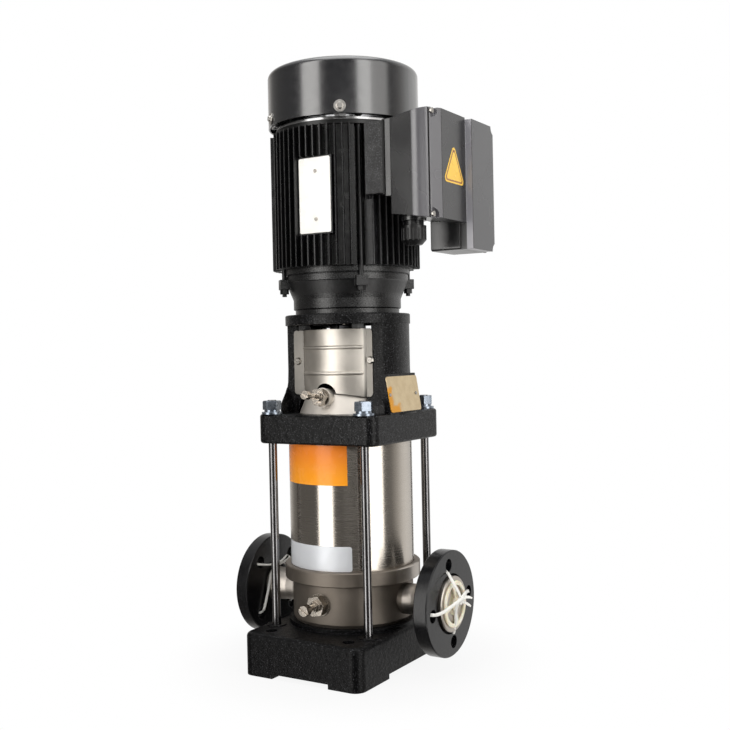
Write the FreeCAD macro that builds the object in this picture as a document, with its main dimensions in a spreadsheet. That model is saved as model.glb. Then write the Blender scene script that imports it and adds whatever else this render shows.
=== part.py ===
import FreeCAD, Part
import math
import os
import re

import Sketcher

# Booster pump set: a vertical multistage centrifugal pump with a single-phase
# motor on top.  Millimetres.  Origin on the pump shaft axis at the floor,
# +Z up, +X along the pipe towards the outlet flange, -Y the front (plugs,
# front coupling guard).

V = FreeCAD.Vector
doc = FreeCAD.newDocument("booster_pump_set")
dims = doc.addObject("Spreadsheet::Sheet", "dims")

# ----------------------------------------------------------------------
# driving dimensions: alias, value, meaning
# ----------------------------------------------------------------------
TABLE = [
    # cast base
    ("base_half_x", 75, "half width of the cast base along the pipe"),
    ("base_half_y", 110, "half length of the cast base across the pipe"),
    ("base_top", 46, "top face of the base"),
    ("base_corner_rad", 12, "plan corner radius of the base"),
    ("base_edge_rad", 5, "round of the top edge"),
    ("base_ring_rad", 75, "raised seat under the pump casing"),
    ("base_ring_top", 50, "top of the raised seat"),
    ("base_recess", 5, "height of the recess between the feet"),
    ("base_cavity", 32, "depth of the hollow underneath"),
    ("bolt_sp_x", 50, "half spacing of the floor bolts, X"),
    ("bolt_sp_y", 90, "half spacing of the floor bolts, Y"),
    ("bolt_hole_rad", 6.5, "floor bolt hole radius"),
    # tie rods
    ("rod_x", 60.1, "tie rod position, X"),
    ("rod_y", 66.9, "tie rod position, Y"),
    ("rod_rad", 4.7, "tie rod radius"),
    ("rod_bottom", 28, "lower end of the tie rods"),
    ("rod_top", 297.6, "upper end of the tie rods"),
    ("rod_hole_rad", 5.1, "hole for a tie rod"),
    ("rod_boss_rad", 11, "boss around a tie rod on the base"),
    ("washer_rad", 11.5, "flat washer radius"),
    ("washer_thk", 2.5, "flat washer thickness"),
    ("spring_washer_rad", 8.6, "spring washer radius"),
    ("nut_circum", 10.39, "tie rod nut, circumscribed radius (18 across flats)"),
    ("nut_height", 10, "tie rod nut height"),
    # pump casing with the two ports
    ("port_z", 75, "height of the port axis"),
    ("case_rad", 68.5, "casing outer radius"),
    ("case_foot_z", 53.7, "start of the straight casing wall"),
    ("case_wall_top", 96.2, "top of the straight casing wall"),
    ("collar_rad", 76.8, "sleeve collar radius"),
    ("collar_top", 112, "top of the sleeve collar"),
    ("seat_rad", 70.4, "sleeve pocket radius"),
    ("seat_z", 102.8, "bottom of the sleeve pocket"),
    ("case_bore_rad", 62.5, "delivery annulus outer radius"),
    ("guide_rad", 40, "suction riser outer radius"),
    ("guide_bore_rad", 34, "suction riser bore radius"),
    ("guide_top", 100, "top of the suction riser"),
    ("port_bore_rad", 12.5, "port bore radius (nominal size 25)"),
    ("stub_rad", 17, "pipe stub radius at the casing"),
    ("neck_rad", 19.5, "pipe stub radius at the flange"),
    ("lip_rad", 30, "raised sealing lip radius"),
    ("lip_back", 118, "back of the sealing lip from the axis"),
    ("lip_face", 128.5, "sealing face from the axis"),
    # sleeve and rings
    ("sleeve_rad", 70, "outer sleeve radius"),
    ("sleeve_in_rad", 68.4, "outer sleeve inner radius"),
    ("sleeve_bottom", 104.9, "lower end of the sleeve"),
    ("sleeve_top", 263.1, "upper end of the sleeve"),
    ("oring_major", 69.2, "sleeve ring pitch radius"),
    ("oring_minor", 1.05, "sleeve ring section radius"),
    # motor stool
    ("head_half_x", 76.5, "half width of the square head, X"),
    ("head_half_y", 75.5, "half width of the square head, Y"),
    ("head_bottom", 249.3, "underside of the square head"),
    ("head_top", 281.9, "top of the square head"),
    ("head_corner_rad", 12, "plan corner radius of the head"),
    ("cover_pocket_rad", 70.6, "pocket for sleeve and cover"),
    ("cover_pocket_top", 271, "top of that pocket"),
    ("cover_hole_rad", 59, "opening for the cover dome"),
    ("stool_rad", 70, "outer radius of the stool posts"),
    ("stool_bore", 50, "inner radius of the stool posts"),
    ("stool_flare_rad", 78.5, "radius at the post feet"),
    ("stool_ring_z", 380.3, "underside of the motor seat ring"),
    ("stool_top", 391.5, "motor seat face"),
    ("stool_ring_rad", 71, "motor seat ring radius"),
    ("window_half_x", 63.5, "reach of the window cut"),
    ("window_y", 30, "plane of the flat post faces"),
    ("motor_spigot_rad", 40, "opening in the motor seat"),
    ("flange_bolt_pcr", 50, "motor flange bolt circle radius"),
    # nameplate wedge on the stool
    ("wedge_y_lo", -38, "wedge side, front"),
    ("wedge_y_hi", 31, "wedge side, rear"),
    ("wedge_x_foot", 76.2, "wedge face at its foot"),
    ("wedge_x_top", 69.13, "wedge face at its top"),
    ("wedge_top", 324.5, "top of the wedge"),
    # pump head cover
    ("cover_rad", 70.1, "cover disc radius"),
    ("cover_disc_z", 265.2, "underside of the cover disc"),
    ("cover_disc_top", 270.9, "top of the cover disc"),
    ("dome_low_rad", 57, "dome radius at its foot"),
    ("dome_low_z", 281, "dome foot height"),
    ("dome_top_rad", 48, "dome radius at its top"),
    ("dome_top_z", 302.5, "dome top edge height"),
    ("cover_top_z", 305.5, "cover top face"),
    ("seal_bore", 16, "seal pocket radius"),
    # shafts
    ("pump_shaft_rad", 6, "pump shaft radius"),
    ("pump_shaft_bottom", 66, "lower end of the pump shaft"),
    ("pump_shaft_top", 348, "upper end of the pump shaft"),
    ("motor_shaft_rad", 9.5, "motor shaft extension radius"),
    ("motor_shaft_low", 350, "lower end of the motor shaft"),
    ("bearing_seat_rad", 10, "bearing seat radius on the motor shaft"),
    ("rotor_shaft_rad", 13, "motor shaft radius in the rotor"),
    ("fan_seat_top", 650, "upper end of the motor shaft"),
    # coupling
    ("coupling_rad", 20.5, "coupling outer radius"),
    ("coupling_low", 320, "coupling lower face"),
    ("coupling_high", 380, "coupling upper face"),
    # stages
    ("stage_z", 100, "first stage floor"),
    ("stage_pitch", 20, "stage pitch"),
    ("stage_count", 7, "number of stages"),
    ("stage_rad", 56, "stage bowl outer radius"),
    ("impeller_rad", 47, "impeller radius"),
    ("eye_rad", 20, "bowl eye radius"),
    # motor
    ("des_neck_rad", 59, "drive end shield neck radius"),
    ("des_waist_rad", 61, "drive end shield waist radius"),
    ("des_waist_lo", 397, "waist lower edge"),
    ("des_waist_hi", 408.5, "waist upper edge"),
    ("des_cone_top", 427.5, "cone upper edge"),
    ("des_ring_rad", 69.5, "drive end shield ring radius"),
    ("frame_bottom", 442.5, "lower edge of the finned frame"),
    ("frame_top", 593, "upper edge of the finned frame"),
    ("frame_rad", 75, "frame radius between the fins"),
    ("frame_bore", 65.2, "frame bore radius"),
    ("fin_rad", 83.5, "fin tip radius"),
    ("fin_count", 64, "fins around the frame"),
    ("fin_thk", 2.3, "fin thickness"),
    ("chan_bottom", 68.2, "bottom of the bolt channels"),
    ("bolt_circle", 72, "through bolt circle radius"),
    ("thru_bolt_rad", 2.5, "through bolt radius"),
    ("lug_low", 420.5, "underside of the bolt lugs"),
    ("lug_top", 431.5, "top of the bolt lugs"),
    ("boss_half_y", 45.5, "half width of the terminal box boss"),
    ("boss_low", 516, "terminal box boss, lower face"),
    ("boss_high", 592, "terminal box boss, upper face"),
    ("boss_x", 84, "terminal box boss face"),
    ("cheek_half_y", 57, "half width over the cheeks of that boss"),
    ("cheek_x", 62, "inner face of the cheeks"),
    ("fes_top", 603, "upper face of the fan end shield"),
    ("fes_rad", 77, "fan end shield radius"),
    ("bearing_out_rad", 23.5, "bearing outer radius"),
    ("bearing_width", 14, "bearing width"),
    ("bearing_low_z", 404, "lower bearing, lower face"),
    ("bearing_high_z", 583, "upper bearing, lower face"),
    ("ball_rad", 3.97, "bearing ball radius"),
    ("ball_circle", 16.75, "ball pitch radius"),
    ("stator_rad", 64.9, "stator core radius"),
    ("stator_bore", 38, "stator bore radius"),
    ("stack_low", 470, "stator and rotor stack, lower face"),
    ("stack_high", 560, "stator and rotor stack, upper face"),
    ("rotor_rad", 37.5, "rotor core radius"),
    ("fan_cover_rad", 85, "fan cover radius"),
    ("fan_cover_thk", 1.6, "fan cover wall"),
    ("fan_cover_low", 602, "fan cover lower edge"),
    ("fan_cover_top", 664, "fan cover top face"),
    ("fan_cover_edge", 7, "round of the fan cover's top edge"),
    ("cover_screw_z", 609.5, "height of the fan cover screws"),
    # motor nameplate
    ("plate_x_lo", -8.8, "motor plate, left edge"),
    ("plate_x_hi", 31, "motor plate, right edge"),
    ("plate_z_lo", 477.5, "motor plate, lower edge"),
    ("plate_z_hi", 558, "motor plate, upper edge"),
    ("plate_seat_y", 77.2, "flat under the motor plate"),
    # terminal box
    ("tb_back", 94, "back of the terminal box"),
    ("tb_part", 137, "parting plane of the terminal box"),
    ("tb_lid_f", 145, "lid face, front section"),
    ("tb_lid_r", 152.5, "lid face, capacitor section"),
    ("tb_front", -62, "front side of the box"),
    ("tb_step", 15, "side of the capacitor section"),
    ("tb_rear", 74, "rear side of the box"),
    ("tb_top", 599, "box top at the parting plane"),
    ("tb_bottom", 486, "box bottom, front section"),
    ("cap_bottom", 458, "box bottom, capacitor section"),
    ("cap_top", 597, "box top, capacitor section"),
    ("cap_back", 101, "back of the capacitor section"),
    ("tb_wall", 3, "box wall"),
    ("gland_x", 107.5, "cable gland axis, X"),
    ("gland_y", -35, "cable gland axis, Y"),
    # plugs
    ("drain_face", 68.5, "casing face at the drain plug"),
    ("needle_rad", 3.5, "needle neck radius"),
    ("needle_bore", 3.57, "needle bore radius"),
    # loose flanges
    ("flange_rad", 57.5, "loose flange radius"),
    ("flange_thk", 16, "loose flange thickness"),
    ("flange_face", 125, "loose flange face from the axis"),
    ("flange_bore", 20.1, "loose flange bore radius"),
    ("flange_cbore", 32.5, "loose flange recess radius"),
    ("flange_pcr", 42.5, "bolt circle radius"),
    ("flange_hole", 7, "bolt hole radius"),
    ("cap_rad", 25.2, "port cap radius"),
    ("cap_face", 130.6, "port cap face from the axis"),
    ("tie_width", 3.6, "cable tie strap width"),
    ("tie_thk", 1.2, "cable tie strap thickness"),
]
D = {}
for i, (alias, value, note) in enumerate(TABLE, 1):
    dims.set("A%d" % i, alias)
    dims.set("B%d" % i, str(value))
    dims.set("C%d" % i, note)
    dims.setAlias("B%d" % i, alias)
    D[alias] = float(value)
doc.recompute()

SUBS = []          # exported sub-parts, in order


# ----------------------------------------------------------------------
# small expression helpers: "rod_x + 2", "-base_half_x", "nut_circum*2"
# ----------------------------------------------------------------------
def _term(tok):
    sign = -1.0 if tok.startswith("-") else 1.0
    parts = re.split(r"([*/])", tok.lstrip("-"))
    value = None
    op = "*"
    for p in parts:
        if p in "*/" and p:
            op = p
            continue
        x = D[p] if p in D else float(p)
        value = x if value is None else (value * x if op == "*" else value / x)
    return sign * value


def val(e):
    """Value of a length expression."""
    if not isinstance(e, str):
        return float(e)
    total, sign = 0.0, 1.0
    for tok in e.split():
        if tok in "+-":
            sign = 1.0 if tok == "+" else -1.0
        else:
            total += sign * _term(tok)
            sign = 1.0
    return total


def fx(e):
    """The same expression with its aliases bound to the sheet."""
    return re.sub(r"(?<![\w.])([A-Za-z_]\w*)", r"dims.\1", e)


def bind(obj, prop, e):
    if isinstance(e, str):
        obj.setExpression(prop, fx(e))


# ----------------------------------------------------------------------
# sketch based bodies
# ----------------------------------------------------------------------
def new_body(name, export=True, compound=False):
    b = doc.addObject("PartDesign::Body", name)
    b.Label = name
    b.AllowCompound = bool(compound)
    if export:
        SUBS.append(b)
    return b


def origin_feature(body, role):
    for f in body.Origin.OriginFeatures:
        if f.Role == role:
            return f
    raise RuntimeError("no origin feature " + role)


def sketch(body, role, off=0, dy=0, rot=0):
    """Sketch on an origin plane, moved off along its normal, dy along its own
    vertical, turned by rot degrees about its normal."""
    sk = body.newObject("Sketcher::SketchObject", "sk_" + body.Label)
    sk.AttachmentSupport = [(origin_feature(body, role), "")]
    sk.MapMode = "FlatFace"
    sk.AttachmentOffset = FreeCAD.Placement(
        V(0, val(dy), val(off)), FreeCAD.Rotation(V(0, 0, 1), rot))
    bind(sk, "AttachmentOffset.Base.z", off)
    bind(sk, "AttachmentOffset.Base.y", dy)
    return sk


def _fix(sk, geo, pos, x, y):
    for kind, axis, e in (("DistanceX", -2, x), ("DistanceY", -1, y)):
        value = val(e)
        if abs(value) < 1e-9:
            sk.addConstraint(Sketcher.Constraint("PointOnObject", geo, pos, axis))
        else:
            c = sk.addConstraint(
                Sketcher.Constraint(kind, -1, 1, geo, pos, value))
            bind(sk, "Constraints[%d]" % c, e)


def poly(sk, pts, arcs=None):
    """Closed outline.  arcs maps an edge's number to (x, y, radius): a point
    on the arc that replaces the straight edge, and its radius."""
    arcs = arcs or {}
    n = len(pts)
    p = [V(val(a), val(b), 0) for a, b in pts]
    ids = []
    ends = []
    for i in range(n):
        a, b = p[i], p[(i + 1) % n]
        if i in arcs:
            mx, my, _ = arcs[i]
            m = V(val(mx), val(my), 0)
            # centre of the circle through the three points
            d = 2 * (a.x * (m.y - b.y) + m.x * (b.y - a.y) + b.x * (a.y - m.y))
            qa, qm, qb = a.dot(a), m.dot(m), b.dot(b)
            cx = (qa * (m.y - b.y) + qm * (b.y - a.y) + qb * (a.y - m.y)) / d
            cy = (qa * (b.x - m.x) + qm * (a.x - b.x) + qb * (m.x - a.x)) / d
            cc = V(cx, cy, 0)
            ccw = (m - a).cross(b - m).z > 0
            first, last = (a, b) if ccw else (b, a)
            t0 = math.atan2(first.y - cy, first.x - cx)
            t1 = math.atan2(last.y - cy, last.x - cx)
            if t1 < t0:
                t1 += 2 * math.pi
            g = sk.addGeometry(Part.ArcOfCircle(
                Part.Circle(cc, V(0, 0, 1), cc.distanceToPoint(a)), t0, t1), False)
            ends.append((1, 2) if ccw else (2, 1))
        else:
            g = sk.addGeometry(Part.LineSegment(a, b), False)
            ends.append((1, 2))
        ids.append(g)
    for i in range(n):
        j = (i + 1) % n
        sk.addConstraint(Sketcher.Constraint(
            "Coincident", ids[i], ends[i][1], ids[j], ends[j][0]))
    for i in range(n):
        _fix(sk, ids[i], ends[i][0], *pts[i])
    for i in arcs:
        if arcs[i][2] is None:
            continue
        c = sk.addConstraint(
            Sketcher.Constraint("Radius", ids[i], val(arcs[i][2])))
        bind(sk, "Constraints[%d]" % c, arcs[i][2])
    return ids


def circle(sk, x, y, r):
    g = sk.addGeometry(Part.Circle(V(val(x), val(y), 0), V(0, 0, 1), val(r)), False)
    c = sk.addConstraint(Sketcher.Constraint("Radius", g, val(r)))
    bind(sk, "Constraints[%d]" % c, r)
    _fix(sk, g, 3, x, y)


def rect(sk, x0, y0, x1, y1):
    return poly(sk, [(x0, y0), (x1, y0), (x1, y1), (x0, y1)])


def volume(body):
    doc.recompute()
    return body.Shape.Volume if not body.Shape.isNull() else 0.0


def pad(body, sk, length, reverse=False):
    f = body.newObject("PartDesign::Pad", "pad_" + body.Label)
    f.Profile = sk
    f.Length = val(length)
    bind(f, "Length", length)
    f.Reversed = reverse
    return f


def pocket(body, sk, length=None, reverse=False):
    before = volume(body)
    f = body.newObject("PartDesign::Pocket", "cut_" + body.Label)
    f.Profile = sk
    if length is None:
        f.Type = "ThroughAll"
    else:
        f.Type = "Length"
        f.Length = val(length)
        bind(f, "Length", length)
    f.Reversed = reverse
    after = volume(body)
    if not after < before - 1e-3:
        raise RuntimeError("a pocket cut nothing in %s: %s" % (
            body.Label, f.getStatusString()))
    return f


def revolve(body, sk, axis="V_Axis"):
    f = body.newObject("PartDesign::Revolution", "rev_" + body.Label)
    f.Profile = sk
    f.ReferenceAxis = (sk, [axis])
    f.Angle = 360.0
    return f


def groove(body, sk, axis="V_Axis"):
    before = volume(body)
    f = body.newObject("PartDesign::Groove", "groove_" + body.Label)
    f.Profile = sk
    f.ReferenceAxis = (sk, [axis])
    f.Angle = 360.0
    after = volume(body)
    if not after < before - 1e-3:
        raise RuntimeError("a groove cut nothing in " + body.Label)
    return f


def polar(body, feature, count, angle=360.0):
    f = body.newObject("PartDesign::PolarPattern", "polar_" + body.Label)
    f.Originals = [feature]
    f.Axis = (origin_feature(body, "Z_Axis"), [""])
    f.Angle = angle
    f.Occurrences = int(val(count))
    if isinstance(count, str):
        bind(f, "Occurrences", count)
    body.Tip = f
    return f


def edges_where(shape, test):
    names = []
    for i, e in enumerate(shape.Edges, 1):
        if test(e):
            names.append("Edge%d" % i)
    return names


def dress(body, kind, size, test):
    """Fillet or chamfer on every edge that passes the test."""
    doc.recompute()
    base = body.Tip
    names = edges_where(base.Shape, test)
    if not names:
        raise RuntimeError("no edge to dress in " + body.Label)
    f = body.newObject("PartDesign::" + kind, kind.lower() + "_" + body.Label)
    f.Base = (base, names)
    prop = "Radius" if kind == "Fillet" else "Size"
    setattr(f, prop, val(size))
    bind(f, prop, size)
    doc.recompute()
    return f


def turned(name, profile, export=True):
    """A turned piece: closed profile of (radius, height) about the axis."""
    b = new_body(name, export)
    sk = sketch(b, "XZ_Plane")
    poly(sk, profile)
    revolve(b, sk)
    doc.recompute()
    return b


# ----------------------------------------------------------------------
# primitives
# ----------------------------------------------------------------------
def _place(o, pos, axis=(0, 0, 1), spin=0):
    rot = FreeCAD.Rotation(V(0, 0, 1), V(*axis)).multiply(
        FreeCAD.Rotation(V(0, 0, 1), spin))
    o.Placement = FreeCAD.Placement(V(*[val(p) for p in pos]), rot)
    for c, e in zip("xyz", pos):
        bind(o, "Placement.Base." + c, e)
    return o


def cyl(name, r, h, pos=(0, 0, 0), axis=(0, 0, 1)):
    o = doc.addObject("Part::Cylinder", name)
    o.Radius = val(r)
    o.Height = val(h)
    bind(o, "Radius", r)
    bind(o, "Height", h)
    return _place(o, pos, axis)


def cone(name, ra, rb, h, pos=(0, 0, 0), axis=(0, 0, 1)):
    o = doc.addObject("Part::Cone", name)
    o.Radius1 = val(ra)
    o.Radius2 = val(rb)
    o.Height = val(h)
    bind(o, "Radius1", ra)
    bind(o, "Radius2", rb)
    bind(o, "Height", h)
    return _place(o, pos, axis)


def box(name, sx, sy, sz, pos, spin=0):
    o = doc.addObject("Part::Box", name)
    for prop, e in (("Length", sx), ("Width", sy), ("Height", sz)):
        setattr(o, prop, val(e))
        bind(o, prop, e)
    return _place(o, pos, (0, 0, 1), spin)


def hexagon(name, circum, h, pos, axis=(0, 0, 1), spin=0):
    o = doc.addObject("Part::Prism", name)
    o.Polygon = 6
    o.Circumradius = val(circum)
    o.Height = val(h)
    bind(o, "Circumradius", circum)
    bind(o, "Height", h)
    return _place(o, pos, axis, spin)


def torus(name, major, minor, pos):
    o = doc.addObject("Part::Torus", name)
    o.Radius1 = val(major)
    o.Radius2 = val(minor)
    bind(o, "Radius1", major)
    bind(o, "Radius2", minor)
    return _place(o, pos)


def ball(name, r, pos):
    o = doc.addObject("Part::Sphere", name)
    o.Radius = val(r)
    bind(o, "Radius", r)
    return _place(o, pos)


def cut(name, base, tool, export=False):
    o = doc.addObject("Part::Cut", name)
    o.Base = base
    o.Tool = tool
    if export:
        o.Label = name
        SUBS.append(o)
    return o


def fuse(name, items, export=False):
    o = doc.addObject("Part::MultiFuse", name)
    o.Shapes = items
    if export:
        o.Label = name
        SUBS.append(o)
    return o


def group(name, items):
    """Several separate solids of one kind in one node."""
    o = doc.addObject("Part::Compound", name)
    o.Links = items
    o.Label = name
    SUBS.append(o)
    return o


def copies(name, source, places):
    """A node made of copies of one source piece at the given placements."""
    doc.recompute()
    made = []
    for pl in places:
        s = source.Shape.copy()
        s.Placement = pl.multiply(s.Placement)
        made.extend(s.Solids)
    o = doc.addObject("Part::Feature", name)
    o.Label = name
    o.Shape = Part.makeCompound(made)
    SUBS.append(o)
    return o


def at(x=0, y=0, z=0, angle=0.0):
    """Placement: moved by x, y, z after a turn about the shaft axis."""
    return FreeCAD.Placement(V(val(x), val(y), val(z)),
                             FreeCAD.Rotation(V(0, 0, 1), angle))


ROD_SPOTS = [("rod_x", "rod_y"), ("-rod_x", "rod_y"),
             ("-rod_x", "-rod_y"), ("rod_x", "-rod_y")]
BOLT_SPOTS = [("bolt_sp_x", "bolt_sp_y"), ("-bolt_sp_x", "bolt_sp_y"),
              ("-bolt_sp_x", "-bolt_sp_y"), ("bolt_sp_x", "-bolt_sp_y")]
DIAG = [45.0, 135.0, 225.0, 315.0]


def is_vertical(e):
    return (e.Curve.TypeId == "Part::GeomLine"
            and abs(abs(e.tangentAt(e.FirstParameter).z) - 1) < 1e-6)


# ======================================================================
# cast base
# ======================================================================
b = new_body("base_plate")
sk = sketch(b, "XY_Plane")
rect(sk, "-base_half_x", "-base_half_y", "base_half_x", "base_half_y")
pad(b, sk, "base_top")
dress(b, "Fillet", "base_corner_rad", is_vertical)
dress(b, "Fillet", "base_edge_rad",
      lambda e: abs(e.BoundBox.ZMin - D["base_top"]) < 1e-6
      and abs(e.BoundBox.ZMax - D["base_top"]) < 1e-6)
sk = sketch(b, "XY_Plane", "base_top - 2")
circle(sk, 0, 0, "base_ring_rad - 2")
pad(b, sk, "base_ring_top - base_top + 2")
sk = sketch(b, "XY_Plane", "base_top - 2")
for x, y in ROD_SPOTS:
    circle(sk, x, y, "rod_boss_rad")
pad(b, sk, "3.2")
# hollow between the four solid corners, open underneath
sk = sketch(b, "XY_Plane")
poly(sk, [("-base_half_x + 10", "-50"), ("-36", "-50"), ("-36", "-base_half_y + 10"),
          ("36", "-base_half_y + 10"), ("36", "-50"), ("base_half_x - 10", "-50"),
          ("base_half_x - 10", "50"), ("36", "50"), ("36", "base_half_y - 10"),
          ("-36", "base_half_y - 10"), ("-36", "50"), ("-base_half_x + 10", "50")])
pocket(b, sk, "base_cavity", reverse=True)
# recesses between the feet, front to back and side to side
sk = sketch(b, "XY_Plane")
rect(sk, "-36", "-base_half_y - 1", "36", "base_half_y + 1")
pocket(b, sk, "base_recess", reverse=True)
sk = sketch(b, "XY_Plane")
rect(sk, "-base_half_x - 1", "-50", "base_half_x + 1", "50")
pocket(b, sk, "base_recess", reverse=True)
# floor bolt holes, and blind holes for the tie rods
sk = sketch(b, "XY_Plane")
for x, y in BOLT_SPOTS:
    circle(sk, x, y, "bolt_hole_rad")
pocket(b, sk, None, reverse=True)
sk = sketch(b, "XY_Plane", "rod_bottom - 1")
for x, y in ROD_SPOTS:
    circle(sk, x, y, "rod_hole_rad")
pocket(b, sk, "40", reverse=True)

# ======================================================================
# pump casing with suction and delivery port
# ======================================================================
b = new_body("pump_casing")
sk = sketch(b, "XZ_Plane")
poly(sk, [(0, "base_ring_top"), ("case_rad - 2", "base_ring_top"),
          ("case_rad", "case_foot_z"), ("case_rad", "case_wall_top"),
          ("collar_rad - 1", "case_wall_top"), ("collar_rad", "case_wall_top + 1"),
          ("collar_rad", "collar_top - 1"), ("collar_rad - 1", "collar_top"),
          ("seat_rad", "collar_top"), ("seat_rad", "seat_z"),
          ("case_bore_rad", "seat_z"), ("case_bore_rad", "60"),
          ("guide_rad", "60"), ("guide_rad", "guide_top"),
          ("guide_bore_rad", "guide_top"), ("guide_bore_rad", "62"),
          (0, "62")])
revolve(b, sk)
# the stubs, turned about the port axis
for s in ("", "-"):
    sk = sketch(b, "XZ_Plane", 0, "port_z")
    poly(sk, [(s + "60", 0), (s + "60", "stub_rad"), (s + "84", "stub_rad"),
              (s + "102", "neck_rad - 0.6"), (s + "106", "neck_rad"),
              (s + "lip_back", "neck_rad"), (s + "lip_back", "lip_rad"),
              ((s + "lip_face + 1") if s else "lip_face - 1", "lip_rad"),
              (s + "lip_face", "lip_rad - 1"), (s + "lip_face", 0)])
    revolve(b, sk, "H_Axis")
# suction passage across the delivery annulus
sk = sketch(b, "YZ_Plane", "-66")
circle(sk, 0, "port_z", "port_bore_rad + 2.4")
pad(b, sk, "66 - 36")
# boss for the drain plug
sk = sketch(b, "XZ_Plane", "56")
circle(sk, 0, "port_z", "13")
pad(b, sk, "drain_face - 56")
# port bores: inlet into the riser, outlet into the annulus
sk = sketch(b, "YZ_Plane", "-lip_face - 1")
circle(sk, 0, "port_z", "port_bore_rad")
pocket(b, sk, "lip_face + 1 - 20", reverse=True)
sk = sketch(b, "YZ_Plane", "55")
circle(sk, 0, "port_z", "port_bore_rad")
pocket(b, sk, "80", reverse=True)
# drain hole
sk = sketch(b, "XZ_Plane", "drain_face + 1")
circle(sk, 0, "port_z", "8.1")
pocket(b, sk, "20")

# outer sleeve and its two rings
turned("outer_sleeve",
       [("sleeve_in_rad", "sleeve_bottom"), ("sleeve_rad", "sleeve_bottom"),
        ("sleeve_rad", "sleeve_top"), ("sleeve_in_rad", "sleeve_top")])
group("sleeve_o_rings", [
    torus("ring_low", "oring_major", "oring_minor", (0, 0, "sleeve_bottom - oring_minor")),
    torus("ring_high", "oring_major", "oring_minor", (0, 0, "sleeve_top + oring_minor"))])

# ======================================================================
# motor stool: square head, two posts and the motor seat ring
# ======================================================================
b = new_body("motor_stool")
sk = sketch(b, "XY_Plane", "head_bottom")
rect(sk, "-head_half_x", "-head_half_y", "head_half_x", "head_half_y")
pad(b, sk, "head_top - head_bottom")
dress(b, "Fillet", "head_corner_rad", is_vertical)
dress(b, "Fillet", "3",
      lambda e: (abs(e.BoundBox.ZMin - D["head_top"]) < 1e-6)
      or (abs(e.BoundBox.ZMax - D["head_bottom"]) < 1e-6))
sk = sketch(b, "XZ_Plane")
poly(sk, [("stool_bore", "head_top - 2"), ("stool_flare_rad", "head_top - 2"),
          ("stool_flare_rad", "291"), ("stool_flare_rad - 3", "298"),
          ("stool_rad + 2.5", "305"), ("stool_rad + 0.6", "316"),
          ("stool_rad", "330"), ("stool_rad", "stool_ring_z"),
          ("stool_ring_rad", "stool_ring_z"), ("stool_ring_rad", "stool_top - 1"),
          ("stool_ring_rad - 1", "stool_top"),
          ("motor_spigot_rad", "stool_top"), ("motor_spigot_rad", "stool_ring_z"),
          ("stool_bore", "stool_ring_z - 3")])
revolve(b, sk)
# wedge that carries the pump plate
sk = sketch(b, "XZ_Plane", "-wedge_y_hi")
poly(sk, [("62", "head_top - 1"), ("wedge_x_foot", "head_top - 1"),
          ("wedge_x_foot", "head_top"), ("wedge_x_top", "wedge_top"),
          ("62", "wedge_top")])
pad(b, sk, "wedge_y_hi - wedge_y_lo")
# the flare is cut back level with the face of the wedge
sk = sketch(b, "XZ_Plane", "-wedge_y_hi")
poly(sk, [("wedge_x_foot", "head_top"), ("wedge_x_foot + 20", "head_top"),
          ("wedge_x_foot + 20", "wedge_top"), ("wedge_x_top", "wedge_top")])
pocket(b, sk, "wedge_y_hi - wedge_y_lo", reverse=True)
# windows front and rear
for s in (1, -1):
    if s > 0:
        sk = sketch(b, "XZ_Plane", "window_y")
    else:
        sk = sketch(b, "XZ_Plane", "-window_y")
    # the foot on the left is drawn out to a blunt tip, the other is upright
    outline = [("-53.5", "head_top"), ("51.5", "head_top"), ("50.5", "297.4"),
               ("52", "299"), ("54.2", "300.6"), ("window_half_x", "309"),
               ("window_half_x + 9", "318"), ("window_half_x + 9", "stool_ring_z - 6"),
               ("window_half_x + 9", "stool_ring_z"), ("-window_half_x - 9", "stool_ring_z"),
               ("-window_half_x - 9", "stool_ring_z - 6"), ("-window_half_x - 9", "318"),
               ("-window_half_x", "309"), ("-54.2", "300.9"), ("-44.5", "299.6"),
               ("-43.5", "298.6"), ("-44.3", "297.2")]
    if s > 0:
        outline = [(x[1:] if x.startswith("-") else "-" + x.replace("+", "-"), z)
                   for x, z in reversed(outline)]
        outline = [(x.replace("x - 9", "x + 9") if not x.startswith("-") else x, z)
                   for x, z in outline]
    poly(sk, outline)
    pocket(b, sk, "60", reverse=(s > 0))
# the flare is cleared away in front of and behind the dome
for s in (1, -1):
    sk = sketch(b, "XY_Plane", "head_top")
    rect(sk, "-58", s * 57.0 - 24.0, "58", s * 57.0 + 24.0)
    pocket(b, sk, "27", reverse=True)
# recess under the ring, so that the posts stand clear of the motor flange
sk = sketch(b, "XZ_Plane")
poly(sk, [("stool_bore - 2", "371"), ("56", "371"), ("57.5", "372.5"), ("57.5", "stool_ring_z"),
          ("stool_bore - 2", "stool_ring_z")])
groove(b, sk)
# pocket for the sleeve and the cover, dome opening
sk = sketch(b, "XZ_Plane")
poly(sk, [(0, "head_bottom - 1"), ("cover_pocket_rad", "head_bottom - 1"),
          ("cover_pocket_rad", "cover_pocket_top"),
          ("cover_hole_rad", "cover_pocket_top"), ("cover_hole_rad", "head_top + 0.5"),
          ("stool_bore + 3", "302"), ("stool_bore", "308"), (0, "308")])
groove(b, sk)
sk = sketch(b, "XY_Plane", "head_bottom - 1")
for x, y in ROD_SPOTS:
    circle(sk, x, y, "rod_hole_rad")
pocket(b, sk, "60", reverse=True)
# holes for the motor flange screws
sk = sketch(b, "XY_Plane", "stool_ring_z - 5", rot=45)
for x, y in (("flange_bolt_pcr", 0), (0, "flange_bolt_pcr"),
             ("-flange_bolt_pcr", 0), (0, "-flange_bolt_pcr")):
    circle(sk, x, y, "4.4")
pocket(b, sk, "30", reverse=True)
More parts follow.
